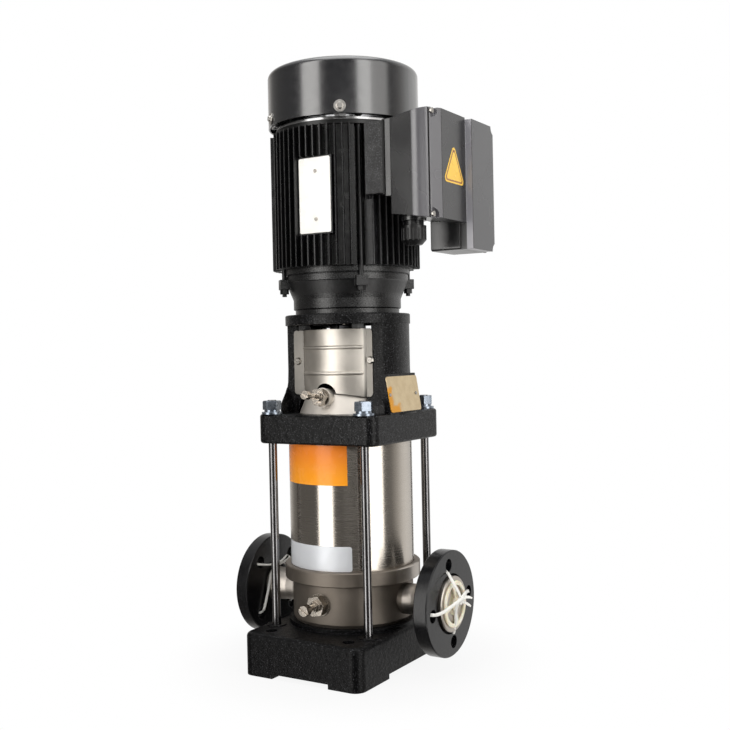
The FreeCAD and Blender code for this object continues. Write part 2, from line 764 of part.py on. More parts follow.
# clearance around the screw heads under the ring
sk = sketch(b, "XY_Plane", "stool_ring_z - 14", rot=45)
for x, y in (("flange_bolt_pcr", 0), (0, "flange_bolt_pcr"),
             ("-flange_bolt_pcr", 0), (0, "-flange_bolt_pcr")):
    circle(sk, x, y, "8.5")
pocket(b, sk, "14", reverse=True)
# tapped holes for the guard screws, front and rear
for s in (1, -1):
    sk = sketch(b, "XZ_Plane", "window_y + 1" if s > 0 else "-window_y - 1")
    for x in ("-48", "48"):
        circle(sk, x, "340", "2")
    pocket(b, sk, "9", reverse=(s < 0))

# ======================================================================
# pump head cover with the vent boss
# ======================================================================
b = new_body("pump_head_cover")
sk = sketch(b, "XZ_Plane")
poly(sk, [("seal_bore", "cover_top_z"), ("seal_bore", "300"), ("8.5", "300"),
          ("8.5", "296"), ("dome_top_rad - 5", "296"), ("dome_low_rad - 5", "276"),
          ("dome_low_rad - 5", "cover_disc_z"), ("cover_rad", "cover_disc_z"),
          ("cover_rad", "cover_disc_top"), ("dome_low_rad + 1", "cover_disc_top"),
          ("dome_low_rad + 1", "cover_disc_top + 4"),
          ("dome_low_rad", "dome_low_z"), ("dome_top_rad", "dome_top_z"),
          ("dome_top_rad - 4", "cover_top_z"), ])
revolve(b, sk)
VENT_TILT = 8.0
VENT_POS = V(0, -54.0, 299.5)
vent_dir = V(0, -math.cos(math.radians(VENT_TILT)), math.sin(math.radians(VENT_TILT)))
dome = b
SUBS.remove(b)
b.Label = "head_cover_turning"
vent_back = VENT_POS - vent_dir * 12
vent_boss = cyl("vent_boss", "11", "14.5", tuple(vent_back), tuple(vent_dir))
vent_hole = cyl("vent_hole", "5.1", "40", tuple(VENT_POS - vent_dir * 22), tuple(vent_dir))
cut("pump_head_cover", fuse("cover_with_boss", [dome, vent_boss]), vent_hole, True)

# ======================================================================
# tie rods with washers and nuts
# ======================================================================
group("tie_rods", [cyl("rod_%d" % i, "rod_rad", "rod_top - rod_bottom", (x, y, "rod_bottom"))
                   for i, (x, y) in enumerate(ROD_SPOTS)])
flat = [
    cut("washer_%d" % i,
        cyl("washer_disc_%d" % i, "washer_rad", "washer_thk", (x, y, "head_top")),
        cyl("washer_hole_%d" % i, "rod_hole_rad", "washer_thk + 2", (x, y, "head_top - 1")))
    for i, (x, y) in enumerate(ROD_SPOTS)]
spring = [
    cut("spring_%d" % i,
        cut("spring_ring_%d" % i,
            cyl("spring_disc_%d" % i, "spring_washer_rad", "washer_thk",
                (x, y, "head_top + washer_thk")),
            cyl("spring_hole_%d" % i, "rod_hole_rad", "washer_thk + 2",
                (x, y, "head_top + washer_thk - 1"))),
        box("spring_gap_%d" % i, "12", "1.2", "washer_thk + 2",
            (x, y, "head_top + washer_thk - 1"), 20))
    for i, (x, y) in enumerate(ROD_SPOTS)]
group("tie_rod_washers", flat + spring)
nuts = []
for i, (x, y) in enumerate(ROD_SPOTS):
    z = "head_top + washer_thk*2"
    blank = hexagon("nut_hex_%d" % i, "nut_circum", "nut_height", (x, y, z), spin=17 * i)
    crown = cone("nut_crown_%d" % i, "nut_circum + 9", "nut_circum - 1.1", "nut_height + 0.01",
                 (x, y, z))
    shaped = doc.addObject("Part::Common", "nut_shape_%d" % i)
    shaped.Base = blank
    shaped.Tool = crown
    nuts.append(cut("nut_%d" % i, shaped,
                    cyl("nut_bore_%d" % i, "rod_rad + 0.1", "nut_height + 2",
                        (x, y, "head_top + washer_thk*2 - 1"))))
group("tie_rod_nuts", nuts)

# ======================================================================
# hydraulics: stage bowls, top guide, impellers, spacers, shaft
# ======================================================================
bowl = turned("stage_bowl_master",
              [("eye_rad", 0), ("stage_rad", 0), ("stage_rad", "stage_pitch - 0.1"),
               ("stage_rad - 1.5", "stage_pitch - 0.1"), ("stage_rad - 1.5", "1.5"),
               ("eye_rad", "1.5")], export=False)
N = int(D["stage_count"])
# the last bowl closes the stack below the cover
last = turned("last_bowl_master",
       [("10", "stage_z + stage_pitch*7"), ("stage_rad", "stage_z + stage_pitch*7"),
        ("stage_rad", "cover_disc_z - 0.1"), ("stage_rad - 2.5", "cover_disc_z - 0.1"),
        ("stage_rad - 2.5", "stage_z + stage_pitch*7 + 2"),
        ("10", "stage_z + stage_pitch*7 + 2")], export=False)
doc.recompute()
bowl_solids = []
for i in range(N):
    bs = bowl.Shape.copy()
    bs.translate(V(0, 0, D["stage_z"] + i * D["stage_pitch"]))
    bowl_solids.extend(bs.Solids)
bowl_solids.extend(last.Shape.Solids)
stack = doc.addObject("Part::Feature", "stage_bowls")
stack.Label = "stage_bowls"
stack.Shape = Part.makeCompound(bowl_solids)
SUBS.append(stack)
imp = new_body("impeller_master", export=False)
sk = sketch(imp, "XZ_Plane")
poly(sk, [("pump_shaft_rad + 0.02", "4"), ("10", "4"), ("10", "11.5"),
          ("impeller_rad", "11.5"), ("impeller_rad", "13"),
          ("pump_shaft_rad + 0.02", "13")])
revolve(imp, sk)
sk = sketch(imp, "XY_Plane", "5.5")
rect(sk, "9", "-0.8", "impeller_rad - 1", "0.8")
blade = pad(imp, sk, "6.5")
polar(imp, blade, 6)
sk = sketch(imp, "XZ_Plane")
poly(sk, [("17", "5.6"), ("17", "4.2"), ("impeller_rad", "4.2"), ("impeller_rad", "5.6")])
revolve(imp, sk)
copies("impellers", imp, [at(0, 0, D["stage_z"] + i * D["stage_pitch"], 360.0 / N * i)
                          for i in range(N)])
spacer = turned("spacer_master",
                [("pump_shaft_rad + 0.02", "13.1"), ("9", "13.1"), ("9", "23.9"),
                 ("pump_shaft_rad + 0.02", "23.9")], export=False)
copies("shaft_spacers", spacer, [at(0, 0, D["stage_z"] + i * D["stage_pitch"])
                                 for i in range(N)])
turned("pump_shaft",
       [(0, "pump_shaft_bottom"), ("pump_shaft_rad - 1", "pump_shaft_bottom"),
        ("pump_shaft_rad", "pump_shaft_bottom + 1"),
        ("pump_shaft_rad", "pump_shaft_top - 1"),
        ("pump_shaft_rad - 1", "pump_shaft_top"), (0, "pump_shaft_top")])
turned("shaft_bearing_bush",
       [("pump_shaft_rad + 0.05", "62"), ("14", "62"), ("14", "80"),
        ("pump_shaft_rad + 0.05", "80")])

# shaft seal: fixed seat in the cover, rotating head on the shaft
turned("seal_seat",
       [("7", "300.1"), ("seal_bore - 0.1", "300.1"), ("seal_bore - 0.1", "cover_top_z"),
        ("7", "cover_top_z")])
turned("seal_rotating_head",
       [("pump_shaft_rad + 0.02", "306"), ("13", "306"), ("13", "310"), ("11", "312"),
        ("11", "317"), ("pump_shaft_rad + 0.02", "317")])

# ======================================================================
# shaft coupling in two halves, with clamp screws
# ======================================================================
b = new_body("coupling_master", export=False, compound=True)
sk = sketch(b, "XZ_Plane")
poly(sk, [("pump_shaft_rad + 0.02", "coupling_low"), ("coupling_rad - 1", "coupling_low"),
          ("coupling_rad", "coupling_low + 1"), ("coupling_rad", "coupling_high - 1"),
          ("coupling_rad - 1", "coupling_high"),
          ("motor_shaft_rad + 0.02", "coupling_high"),
          ("motor_shaft_rad + 0.02", "motor_shaft_low - 1"),
          ("pump_shaft_rad + 0.02", "motor_shaft_low - 1")])
revolve(b, sk)
sk = sketch(b, "XY_Plane", "coupling_low - 1")
rect(sk, "-1", "-30", "1", "30")
pocket(b, sk, None, reverse=True)
# screw holes across the split, counterbored
sk = sketch(b, "YZ_Plane", "-40")
for y in ("-14", "14"):
    for z in ("332", "368"):
        circle(sk, y, z, "3.1")
pocket(b, sk, None, reverse=True)
sk = sketch(b, "YZ_Plane", "8")
for y in ("-14", "14"):
    for z in ("332", "368"):
        circle(sk, y, z, "5.4")
pocket(b, sk, "40", reverse=True)
doc.recompute()
copies("coupling_halves", b, [at()])
screws = []
for i, (y, z) in enumerate((("-14", "332"), ("-14", "368"), ("14", "332"), ("14", "368"))):
    screws.append(fuse("clamp_screw_%d" % i, [
        cyl("clamp_shank_%d" % i, "3", "22", (-13.5, y, z), (1, 0, 0)),
        cyl("clamp_head_%d" % i, "5", "5.6", (8.1, y, z), (1, 0, 0))]))
group("coupling_screws", screws)


# ======================================================================
# coupling guards, front and rear
# ======================================================================
def guard(name, s):
    """Bent sheet guard.  s = -1 front, +1 rear."""
    doc.recompute()
    b = new_body(name + "_sheet")
    SUBS.remove(b)
    y0, y1 = 30.0, 31.2
    # far and near flange edge, turned round for the rear guard
    xa, xb = (-53.8, 50.6) if s < 0 else (-50.6, 53.8)
    # the two bends, and the middle between them
    ba, bb = (-40.0, 43.2) if s < 0 else (-43.2, 40.0)
    xm = (ba + bb) / 2
    sag_o, sag_i = 50.2, 49.0
    r_o = (((bb - ba) / 2) ** 2 + (sag_o - y1) ** 2) / (2 * (sag_o - y1))
    yc = sag_o - r_o
    r_i = r_o - 1.2
    xi = math.sqrt(r_i ** 2 - (y0 - yc) ** 2)
    sk = sketch(b, "XY_Plane", "300")
    poly(sk, [(xa, s * y1), (ba, s * y1), (bb, s * y1), (xb, s * y1),
              (xb, s * y0), (xm + xi, s * y0), (xm - xi, s * y0), (xa, s * y0)],
         {1: (xm, s * sag_o, r_o), 5: (xm, s * sag_i, r_i)})
    pad(b, sk, "74.8")
    # lower edge: the flange at the drawn-out foot is shorter, the bulge is arched
    sk = sketch(b, "XZ_Plane", 0)
    rect(sk, "-58" if s < 0 else "40.6", "296", "-40.6" if s < 0 else "58", "302.2")
    pocket(b, sk, None, reverse=(s < 0))
    sk = sketch(b, "XZ_Plane", 0)
    circle(sk, 0, "304.8 - 172", "172")
    pocket(b, sk, None, reverse=(s < 0))
    # notch over the vent plug on the front, the same sheet on the rear
    sk = sketch(b, "XZ_Plane", 0)
    circle(sk, 0, "301", "14.2")
    pocket(b, sk, None, reverse=(s < 0))
    # screw holes
    sk = sketch(b, "XZ_Plane", 0)
    for x in ("-48", "48"):
        circle(sk, x, "340", "2.2")
    pocket(b, sk, None, reverse=(s < 0))
    dress(b, "Fillet", "4",
          lambda e: e.Curve.TypeId == "Part::GeomLine" and abs(e.Length - 1.2) < 0.01
          and (abs(e.BoundBox.XMin - xa) < 1e-3 or abs(e.BoundBox.XMin - xb) < 1e-3)
          and e.BoundBox.YLength > 1)
    doc.recompute()
    # two horizontal stiffening beads with round ends
    pieces = [b]
    half = 43.2
    for k, z in enumerate(("354.6", "326.2")):
        ring = torus("%s_bead_%d" % (name, k), r_o - 0.4, "2.1", (xm, s * yc, z))
        ring.Angle3 = 2 * half
        start = (270.0 if s < 0 else 90.0) - half
        ring.Placement = FreeCAD.Placement(V(xm, s * yc, val(z)),
                                           FreeCAD.Rotation(V(0, 0, 1), start))
        pieces.append(ring)
        for m, side in enumerate((-1, 1)):
            a_ = math.radians((270.0 if s < 0 else 90.0) + side * half)
            pieces.append(ball("%s_bead_end_%d_%d" % (name, k, m), "2.06",
                               (xm + (r_o - 0.4) * math.cos(a_), s * yc + (r_o - 0.4) * math.sin(a_), z)))
    fuse(name, pieces, True)


guard("coupling_guard_front", -1)
guard("coupling_guard_rear", 1)
heads = []
k = 0
for s in (-1, 1):
    for x in ("-48", "48"):
        shank = cyl("guard_shank_%d" % k, "1.9", "8", (x, s * 31.3, "340"), (0, -s, 0))
        head = cone("guard_head_%d" % k, "4.4", "3", "2.4", (x, s * 31.3, "340"), (0, s, 0))
        slot = box("guard_slot_%d" % k, "10", "1.2", "1",
                   (val(x) - 5, s * 33.3 - 0.6, 339.5))
        heads.append(cut("guard_screw_%d" % k, fuse("guard_blank_%d" % k, [shank, head]), slot))
        k += 1
group("guard_screws", heads)

# ======================================================================
# plates on the pump and on the motor
# ======================================================================
b = new_body("pump_nameplate")
sk = sketch(b, "XZ_Plane", "-wedge_y_hi + 1")
lean = (D["wedge_x_foot"] - D["wedge_x_top"]) / (D["wedge_top"] - D["head_top"])
zl, zh = 283.2, 321.8
xa = D["wedge_x_foot"] - lean * (zl - D["head_top"]) + 0.1
xb = D["wedge_x_foot"] - lean * (zh - D["head_top"]) + 0.1
poly(sk, [(xa, zl), (xa + 1.0, zl), (xb + 1.0, zh), (xb, zh)])
pad(b, sk, "wedge_y_hi - wedge_y_lo - 2")
dress(b, "Fillet", "3",
      lambda e: e.Curve.TypeId == "Part::GeomLine" and abs(e.Length - 1.0) < 0.02)
nx, nz = math.cos(math.atan(lean)), math.sin(math.atan(lean))
rivets = []
for k, y in enumerate((-34.5, 22.5)):
    z = 302.0
    x = D["wedge_x_foot"] - lean * (z - D["head_top"]) + 1.1
    rivets.append(cyl("plate_rivet_%d" % k, "1.9", "0.8", (x, y, z), (nx, 0, nz)))

b = new_body("motor_nameplate")
sk = sketch(b, "XZ_Plane", "plate_seat_y + 0.05")
rect(sk, "plate_x_lo", "plate_z_lo", "plate_x_hi", "plate_z_hi")
pad(b, sk, "0.8")
dress(b, "Fillet", "2",
      lambda e: e.Curve.TypeId == "Part::GeomLine" and e.BoundBox.YLength > 0.5)
group("plate_rivets", rivets + [
    cyl("motor_rivet_%d" % k, "1.8", "0.8",
        ("plate_x_lo/2 + plate_x_hi/2 + 1.4", "-plate_seat_y - 0.85", z), (0, -1, 0))
    for k, z in enumerate((492, 543.5))])

# ======================================================================
# motor: drive end shield
# ======================================================================
b = new_body("drive_end_shield")
sk = sketch(b, "XZ_Plane")
poly(sk, [("12.2", "stool_top"), ("des_neck_rad", "stool_top"),
          ("des_neck_rad", "des_waist_lo"), ("des_waist_rad", "des_waist_lo + 1"),
          ("des_waist_rad", "des_waist_hi"), ("des_ring_rad - 0.8", "des_cone_top"),
          ("des_ring_rad", "des_cone_top + 0.8"), ("des_ring_rad", "435"),
          ("des_ring_rad - 0.8", "435.2"), ("des_ring_rad - 0.8", "436"),
          ("des_ring_rad + 1.4", "436.4"), ("des_ring_rad + 1.4", "frame_bottom"),
          ("frame_bore - 0.2", "frame_bottom"), ("frame_bore - 0.2", "frame_bottom + 4"),
          ("60", "frame_bottom + 4"), ("60", "432"), ("54", "412"), ("31", "407"),
          ("31", "bearing_low_z + bearing_width + 2"),
          ("bearing_out_rad + 0.05", "bearing_low_z + bearing_width + 2"),
          ("bearing_out_rad + 0.05", "bearing_low_z"), ("20.5", "bearing_low_z"),
          ("20.5", "401"), ("12.2", "401")])
revolve(b, sk)
# four lugs for the through bolts
sk = sketch(b, "XY_Plane", "lug_low", rot=45)
rect(sk, "62", "-6.5", "bolt_circle + 5.5", "6.5")
lug = pad(b, sk, "lug_top - lug_low")
polar(b, lug, 4)
sk = sketch(b, "XY_Plane", "lug_low - 20", rot=45)
for x, y in (("bolt_circle", 0), (0, "bolt_circle"), ("-bolt_circle", 0), (0, "-bolt_circle")):
    circle(sk, x, y, "thru_bolt_rad + 0.4")
pocket(b, sk, "60", reverse=True)
# tapped holes for the stool screws
sk = sketch(b, "XY_Plane", "stool_top - 1", rot=45)
for x, y in (("flange_bolt_pcr", 0), (0, "flange_bolt_pcr"),
             ("-flange_bolt_pcr", 0), (0, "-flange_bolt_pcr")):
    circle(sk, x, y, "4.1")
pocket(b, sk, "14", reverse=True)
doc.recompute()

# screws up through the stool ring into the motor
bolts = []
for i, a in enumerate(DIAG):
    x = D["flange_bolt_pcr"] * math.cos(math.radians(a))
    y = D["flange_bolt_pcr"] * math.sin(math.radians(a))
    bolts.append(fuse("flange_screw_%d" % i, [
        cyl("flange_shank_%d" % i, "4", "stool_top - stool_ring_z + 11",
            (x, y, "stool_ring_z - 0.1")),
        hexagon("flange_head_%d" % i, "7.5", "4.9", (x, y, "stool_ring_z - 5"))]))
group("motor_flange_screws", bolts)

# ======================================================================
# motor frame with cooling fins
# ======================================================================
b = new_body("motor_frame")
sk = sketch(b, "XZ_Plane")
poly(sk, [("49", "frame_bottom"), ("frame_rad", "frame_bottom"),
          ("frame_rad", "frame_top"), ("49", "frame_top")])
revolve(b, sk)
sk = sketch(b, "XY_Plane", "frame_bottom", rot=2.8125)
poly(sk, [("frame_rad - 3", "-fin_thk/2"), ("fin_rad - 0.4", "-fin_thk/2 + 0.35"),
          ("fin_rad", "-fin_thk/2 + 0.7"), ("fin_rad", "fin_thk/2 - 0.7"),
          ("fin_rad - 0.4", "fin_thk/2 - 0.35"), ("frame_rad - 3", "fin_thk/2")])
fin = pad(b, sk, "frame_top - frame_bottom")
polar(b, fin, "fin_count")
doc.recompute()
# channels for the through bolts
sk = sketch(b, "XY_Plane", "frame_bottom - 1", rot=45)
for pts in ([("chan_bottom", "-5.5"), ("95", "-5.5"), ("95", "5.5"), ("chan_bottom", "5.5")],
            [("-chan_bottom", "-5.5"), ("-95", "-5.5"), ("-95", "5.5"), ("-chan_bottom", "5.5")],
            [("-5.5", "chan_bottom"), ("-5.5", "95"), ("5.5", "95"), ("5.5", "chan_bottom")],
            [("-5.5", "-chan_bottom"), ("-5.5", "-95"), ("5.5", "-95"), ("5.5", "-chan_bottom")]):
    poly(sk, pts)
pocket(b, sk, None, reverse=True)
# seat for the motor plate
sk = sketch(b, "XZ_Plane", "66")
rect(sk, "plate_x_lo - 1.5", "plate_z_lo - 1.5", "plate_x_hi + 1.5", "plate_z_hi + 1.5")
pad(b, sk, "plate_seat_y - 66")
sk = sketch(b, "XZ_Plane", "plate_seat_y + 20")
rect(sk, "plate_x_lo - 1.5", "plate_z_lo - 1.5", "plate_x_hi + 1.5", "plate_z_hi + 1.5")
pocket(b, sk, "20")
# boss for the terminal box, and the plain strips below and above it
sk = sketch(b, "YZ_Plane", "50")
rect(sk, "-boss_half_y", "boss_low", "boss_half_y", "boss_high")
pad(b, sk, "boss_x - 50")
for s in ("-", ""):
    sk = sketch(b, "YZ_Plane", "cheek_x")
    if s:
        rect(sk, "-cheek_half_y", "boss_low", "-boss_half_y + 3", "boss_high")
    else:
        rect(sk, "boss_half_y - 3", "boss_low", "cheek_half_y", "boss_high")
    pad(b, sk, "boss_x - cheek_x")
    sk = sketch(b, "YZ_Plane", "55.5")
    if s:
        rect(sk, "-49.5", "frame_bottom", "-41", "boss_low - 4")
    else:
        rect(sk, "41", "frame_bottom", "49.5", "boss_low - 4")
    pad(b, sk, "11")
# the bore is cut last, so that nothing reaches inside
sk = sketch(b, "XY_Plane", "frame_bottom - 1")
circle(sk, 0, 0, "frame_bore")
pocket(b, sk, "frame_top - frame_bottom + 2", reverse=True)
# lead passage from the windings to the terminal box
sk = sketch(b, "YZ_Plane", "40")
rect(sk, "-16", "566", "16", "586")
pocket(b, sk, "60", reverse=True)
doc.recompute()

# ======================================================================
# fan end shield
# ======================================================================
b = new_body("fan_end_shield")
sk = sketch(b, "XZ_Plane")
poly(sk, [("12", "fes_top"), ("12", "600"), ("20.5", "600"),
          ("20.5", "bearing_high_z + bearing_width"),
          ("bearing_out_rad + 0.05", "bearing_high_z + bearing_width"),
          ("bearing_out_rad + 0.05", "bearing_high_z - 2"),
          ("31", "bearing_high_z - 2"), ("31", "595"), ("58", "597"),
          ("61", "frame_top - 4"), ("frame_bore - 0.2", "frame_top - 4"),
          ("frame_bore - 0.2", "frame_top"), ("fes_rad", "frame_top"),
          ("fes_rad", "fes_top - 2.5"), ("fes_rad - 2.5", "fes_top")])
revolve(b, sk)
# posts that hold the fan cover
FAN_SCREW_AZ = [-60.0, -128.0, 60.0, 128.0]
for az in FAN_SCREW_AZ:
    sk = sketch(b, "XY_Plane", "fes_top - 4", rot=az)
    rect(sk, "70", "-6", "fan_cover_rad - fan_cover_thk - 0.4", "6")
    pad(b, sk, "cover_screw_z - fes_top + 11")
sk = sketch(b, "XY_Plane", "fes_top - 30", rot=45)
for x, y in (("bolt_circle", 0), (0, "bolt_circle"), ("-bolt_circle", 0), (0, "-bolt_circle")):
    circle(sk, x, y, "thru_bolt_rad + 0.3")
pocket(b, sk, "40", reverse=True)
sk = sketch(b, "XY_Plane", "fes_top", rot=45)
for x, y in (("bolt_circle", 0), (0, "bolt_circle"), ("-bolt_circle", 0), (0, "-bolt_circle")):
    circle(sk, x, y, "6")
pocket(b, sk, "30", reverse=True)
doc.recompute()
fes = b
SUBS.remove(fes)
fes.Label = "fan_end_casting"
tools = []
for k, az in enumerate(FAN_SCREW_AZ):
    c, s = math.cos(math.radians(az)), math.sin(math.radians(az))
    tools.append(cyl("post_tap_%d" % k, "2.1", "20", (66 * c, 66 * s, "cover_screw_z"), (c, s, 0)))
cut("fan_end_shield", fes, fuse("post_taps", tools), True)

# through bolts with heads on top and nuts under the lugs
bolts = []
for i, a in enumerate(DIAG):
    x = D["bolt_circle"] * math.cos(math.radians(a))
    y = D["bolt_circle"] * math.sin(math.radians(a))
    bolts.append(fuse("thru_bolt_%d" % i, [
        cyl("thru_shank_%d" % i, "thru_bolt_rad", "fes_top - lug_low + 8", (x, y, "lug_low - 8")),
        hexagon("thru_head_%d" % i, "5", "4", (x, y, "fes_top"), spin=a),
        hexagon("thru_nut_%d" % i, "5", "5", (x, y, "lug_low - 5"), spin=a)]))
group("motor_through_bolts", bolts)

# ======================================================================
# stator, rotor, shaft, bearings, fan
# ======================================================================
turned("stator_core",
       [("stator_bore", "stack_low"), ("stator_rad", "stack_low"),
        ("stator_rad", "stack_high"), ("stator_bore", "stack_high")])
wind = []
for k, (z0, z1) in enumerate((("stack_low - 20", "stack_low - 0.2"),
                              ("stack_high + 0.2", "stack_high + 20"))):
    wind.append(cut("winding_%d" % k,
                    cyl("winding_out_%d" % k, "59", "19.8", (0, 0, z0)),
                    cyl("winding_in_%d" % k, "41", "30", (0, 0, val(z0) - 5))))
group("stator_windings", wind)
# rotor core with its cast end rings
turned("rotor_core",
       [("rotor_shaft_rad + 0.02", "stack_low"), ("22", "stack_low"),
        ("22", "stack_low - 8"), ("rotor_rad - 1", "stack_low - 8"),
        ("rotor_rad - 1", "stack_low"), ("rotor_rad", "stack_low"),
        ("rotor_rad", "stack_high"), ("rotor_rad - 1", "stack_high"),
        ("rotor_rad - 1", "stack_high + 8"), ("22", "stack_high + 8"),
        ("22", "stack_high"), ("rotor_shaft_rad + 0.02", "stack_high")])
turned("motor_shaft",
       [(0, "motor_shaft_low"), ("motor_shaft_rad - 1", "motor_shaft_low"),
        ("motor_shaft_rad", "motor_shaft_low + 1"), ("motor_shaft_rad", "399"),
        ("bearing_seat_rad", "399"), ("bearing_seat_rad", "bearing_low_z + bearing_width"),
        ("rotor_shaft_rad", "bearing_low_z + bearing_width + 0.2"),
        ("rotor_shaft_rad", "bearing_high_z - 0.2"),
        ("bearing_seat_rad", "bearing_high_z"), ("bearing_seat_rad", "600"),
        ("motor_shaft_rad - 1.5", "602"), ("motor_shaft_rad - 1.5", "fan_seat_top - 1"),
        ("motor_shaft_rad - 2.5", "fan_seat_top"), (0, "fan_seat_top")])
outer = turned("outer_ring_master",
               [("20.9", 0), ("bearing_out_rad", 0), ("bearing_out_rad", "bearing_width"),
                ("20.9", "bearing_width")], export=False)
inner = turned("inner_ring_master",
               [("bearing_seat_rad + 0.02", 0), ("12.6", 0), ("12.6", "bearing_width"),
                ("bearing_seat_rad + 0.02", "bearing_width")], export=False)
race = torus("race_groove", "ball_circle", "ball_rad + 0.3", (0, 0, "bearing_width/2"))
outer_b = turned("outer_blank",
                 [("19.6", 0), ("bearing_out_rad", 0), ("bearing_out_rad", "bearing_width"),
                  ("19.6", "bearing_width")], export=False)
inner_b = turned("inner_blank",
                 [("bearing_seat_rad + 0.02", 0), ("13.9", 0), ("13.9", "bearing_width"),
                  ("bearing_seat_rad + 0.02", "bearing_width")], export=False)
outer_r = cut("outer_ring_cut", outer_b, race)
race_2 = torus("race_groove_2", "ball_circle", "ball_rad + 0.3", (0, 0, "bearing_width/2"))
inner_r = cut("inner_ring_cut", inner_b, race_2)
BZ = [at(0, 0, "bearing_low_z"), at(0, 0, "bearing_high_z")]
copies("bearing_outer_rings", outer_r, BZ)
copies("bearing_inner_rings", inner_r, BZ)
balls = []
for j, z in enumerate(("bearing_low_z + bearing_width/2", "bearing_high_z + bearing_width/2")):
    for k in range(8):
        a = math.radians(45.0 * k + 10)
        balls.append(ball("ball_%d_%d" % (j, k), "ball_rad",
                          (D["ball_circle"] * math.cos(a), D["ball_circle"] * math.sin(a), z)))
# crown cages, open on one side of each ball
cages = []
for j, z in enumerate(("bearing_low_z + bearing_width/2", "bearing_high_z + bearing_width/2")):
    ring = cut("cage_ring_%d" % j,
               cyl("cage_out_%d" % j, "18.1", "5", (0, 0, z + " + 0.6")),
               cyl("cage_in_%d" % j, "15.4", "9", (0, 0, z + " - 1")))
    pockets = []
    for k in range(8):
        a = math.radians(45.0 * k + 10)
        pockets.append(ball("cage_pocket_%d_%d" % (j, k), "ball_rad + 0.15",
                            (D["ball_circle"] * math.cos(a), D["ball_circle"] * math.sin(a), z)))
    cages.append(cut("cage_%d" % j, ring, fuse("cage_pockets_%d" % j, pockets)))
group("bearing_ball_sets", balls + cages)

fan = new_body("cooling_fan")
sk = sketch(fan, "XZ_Plane")
poly(sk, [("motor_shaft_rad - 1.48", "612"), ("14", "612"), ("14", "614"), ("62", "611"),
          ("62", "613"), ("15", "616.5"), ("14", "640"), ("motor_shaft_rad - 1.48", "640")])
revolve(fan, sk)
sk = sketch(fan, "XY_Plane", "612.2")
rect(sk, "12", "-1", "68", "1")
bl = pad(fan, sk, "28")
polar(fan, bl, 8)
doc.recompute()

# ======================================================================
# fan cover with its grille
# ======================================================================
b = new_body("fan_cover")
sk = sketch(b, "XZ_Plane")
R = D["fan_cover_rad"]
q = math.cos(math.radians(45))
e = D["fan_cover_edge"]
zt = D["fan_cover_top"]
w = D["fan_cover_thk"]
poly(sk, [("fan_cover_rad - fan_cover_thk", "fan_cover_low"), ("fan_cover_rad", "fan_cover_low"),
          ("fan_cover_rad", "fan_cover_top - fan_cover_edge"),
          ("fan_cover_rad - fan_cover_edge", "fan_cover_top"), (0, "fan_cover_top"),
          (0, "fan_cover_top - fan_cover_thk"),
          ("fan_cover_rad - fan_cover_edge", "fan_cover_top - fan_cover_thk"),
          ("fan_cover_rad - fan_cover_thk", "fan_cover_top - fan_cover_edge")],
     {2: (R - e + e * q, zt - e + e * q, "fan_cover_edge"),
      6: (R - e + (e - w) * q, zt - e + (e - w) * q, "fan_cover_edge - fan_cover_thk")})
revolve(b, sk)
doc.recompute()
# grille: rows of ring slots between eight spokes
for r0, r1 in ((16, 22), (27, 33), (38, 44), (49, 55), (60, 66)):
    mid = (r0 + r1) / 2.0
    half = 22.5 - math.degrees(3.2 / mid)
    ca, sa = math.cos(math.radians(half)), math.sin(math.radians(half))
    sk = sketch(b, "XY_Plane", "fan_cover_top + 1", rot=22.5)
    poly(sk, [(r0 * ca, -r0 * sa), (r1 * ca, -r1 * sa), (r1 * ca, r1 * sa), (r0 * ca, r0 * sa)],
         {1: (r1, 0, None), 3: (r0, 0, None)})
    slot = pocket(b, sk, "5")
    polar(b, slot, 8)
doc.recompute()
cover = b
SUBS.remove(cover)
cover.Label = "fan_cover_pressing"
tools = []
for k, az in enumerate(FAN_SCREW_AZ):
    c, s = math.cos(math.radians(az)), math.sin(math.radians(az))
    tools.append(cyl("cover_hole_%d" % k, "2.6", "10", (80 * c, 80 * s, "cover_screw_z"), (c, s, 0)))
cut("fan_cover", cover, fuse("cover_holes", tools), True)
heads = []
for k, az in enumerate(FAN_SCREW_AZ):
    c, s = math.cos(math.radians(az)), math.sin(math.radians(az))
    r0 = D["fan_cover_rad"] + 0.15
    heads.append(fuse("cover_screw_%d" % k, [
        cyl("cover_shank_%d" % k, "1.9", "14", ((r0 - 13) * c, (r0 - 13) * s, "cover_screw_z"), (c, s, 0)),
        cyl("cover_washer_%d" % k, "6.4", "1", (r0 * c, r0 * s, "cover_screw_z"), (c, s, 0)),
        cone("cover_head_%d" % k, "4", "2.8", "2.4",
             ((r0 + 1) * c, (r0 + 1) * s, "cover_screw_z"), (c, s, 0))]))
group("fan_cover_screws", heads)

# ======================================================================
# terminal box with the capacitor section
# ======================================================================
b = new_body("terminal_box_base")
# flared front section, lofted from its back to the parting plane
sa_ = sketch(b, "YZ_Plane", "tb_back")
poly(sa_, [("tb_front + 3.5", "tb_bottom + 6.5"), ("tb_step + 14", "tb_bottom + 6.5"),
           ("tb_step + 14", "tb_top - 6.5"), ("tb_front + 3.5", "tb_top - 6.5")])
sb_ = sketch(b, "YZ_Plane", "tb_part")
poly(sb_, [("tb_front - 1", "tb_bottom"), ("tb_step + 14", "tb_bottom"),
           ("tb_step + 14", "tb_top"), ("tb_front - 1", "tb_top")])
loft = b.newObject("PartDesign::AdditiveLoft", "box_loft")
loft.Profile = sa_
loft.Sections = [sb_]
loft.Ruled = True
doc.recompute()
# capacitor section, deeper and hanging lower
sk = sketch(b, "YZ_Plane", "cap_back")
rect(sk, "tb_step", "cap_bottom", "tb_rear", "cap_top")
pad(b, sk, "tb_part - cap_back")
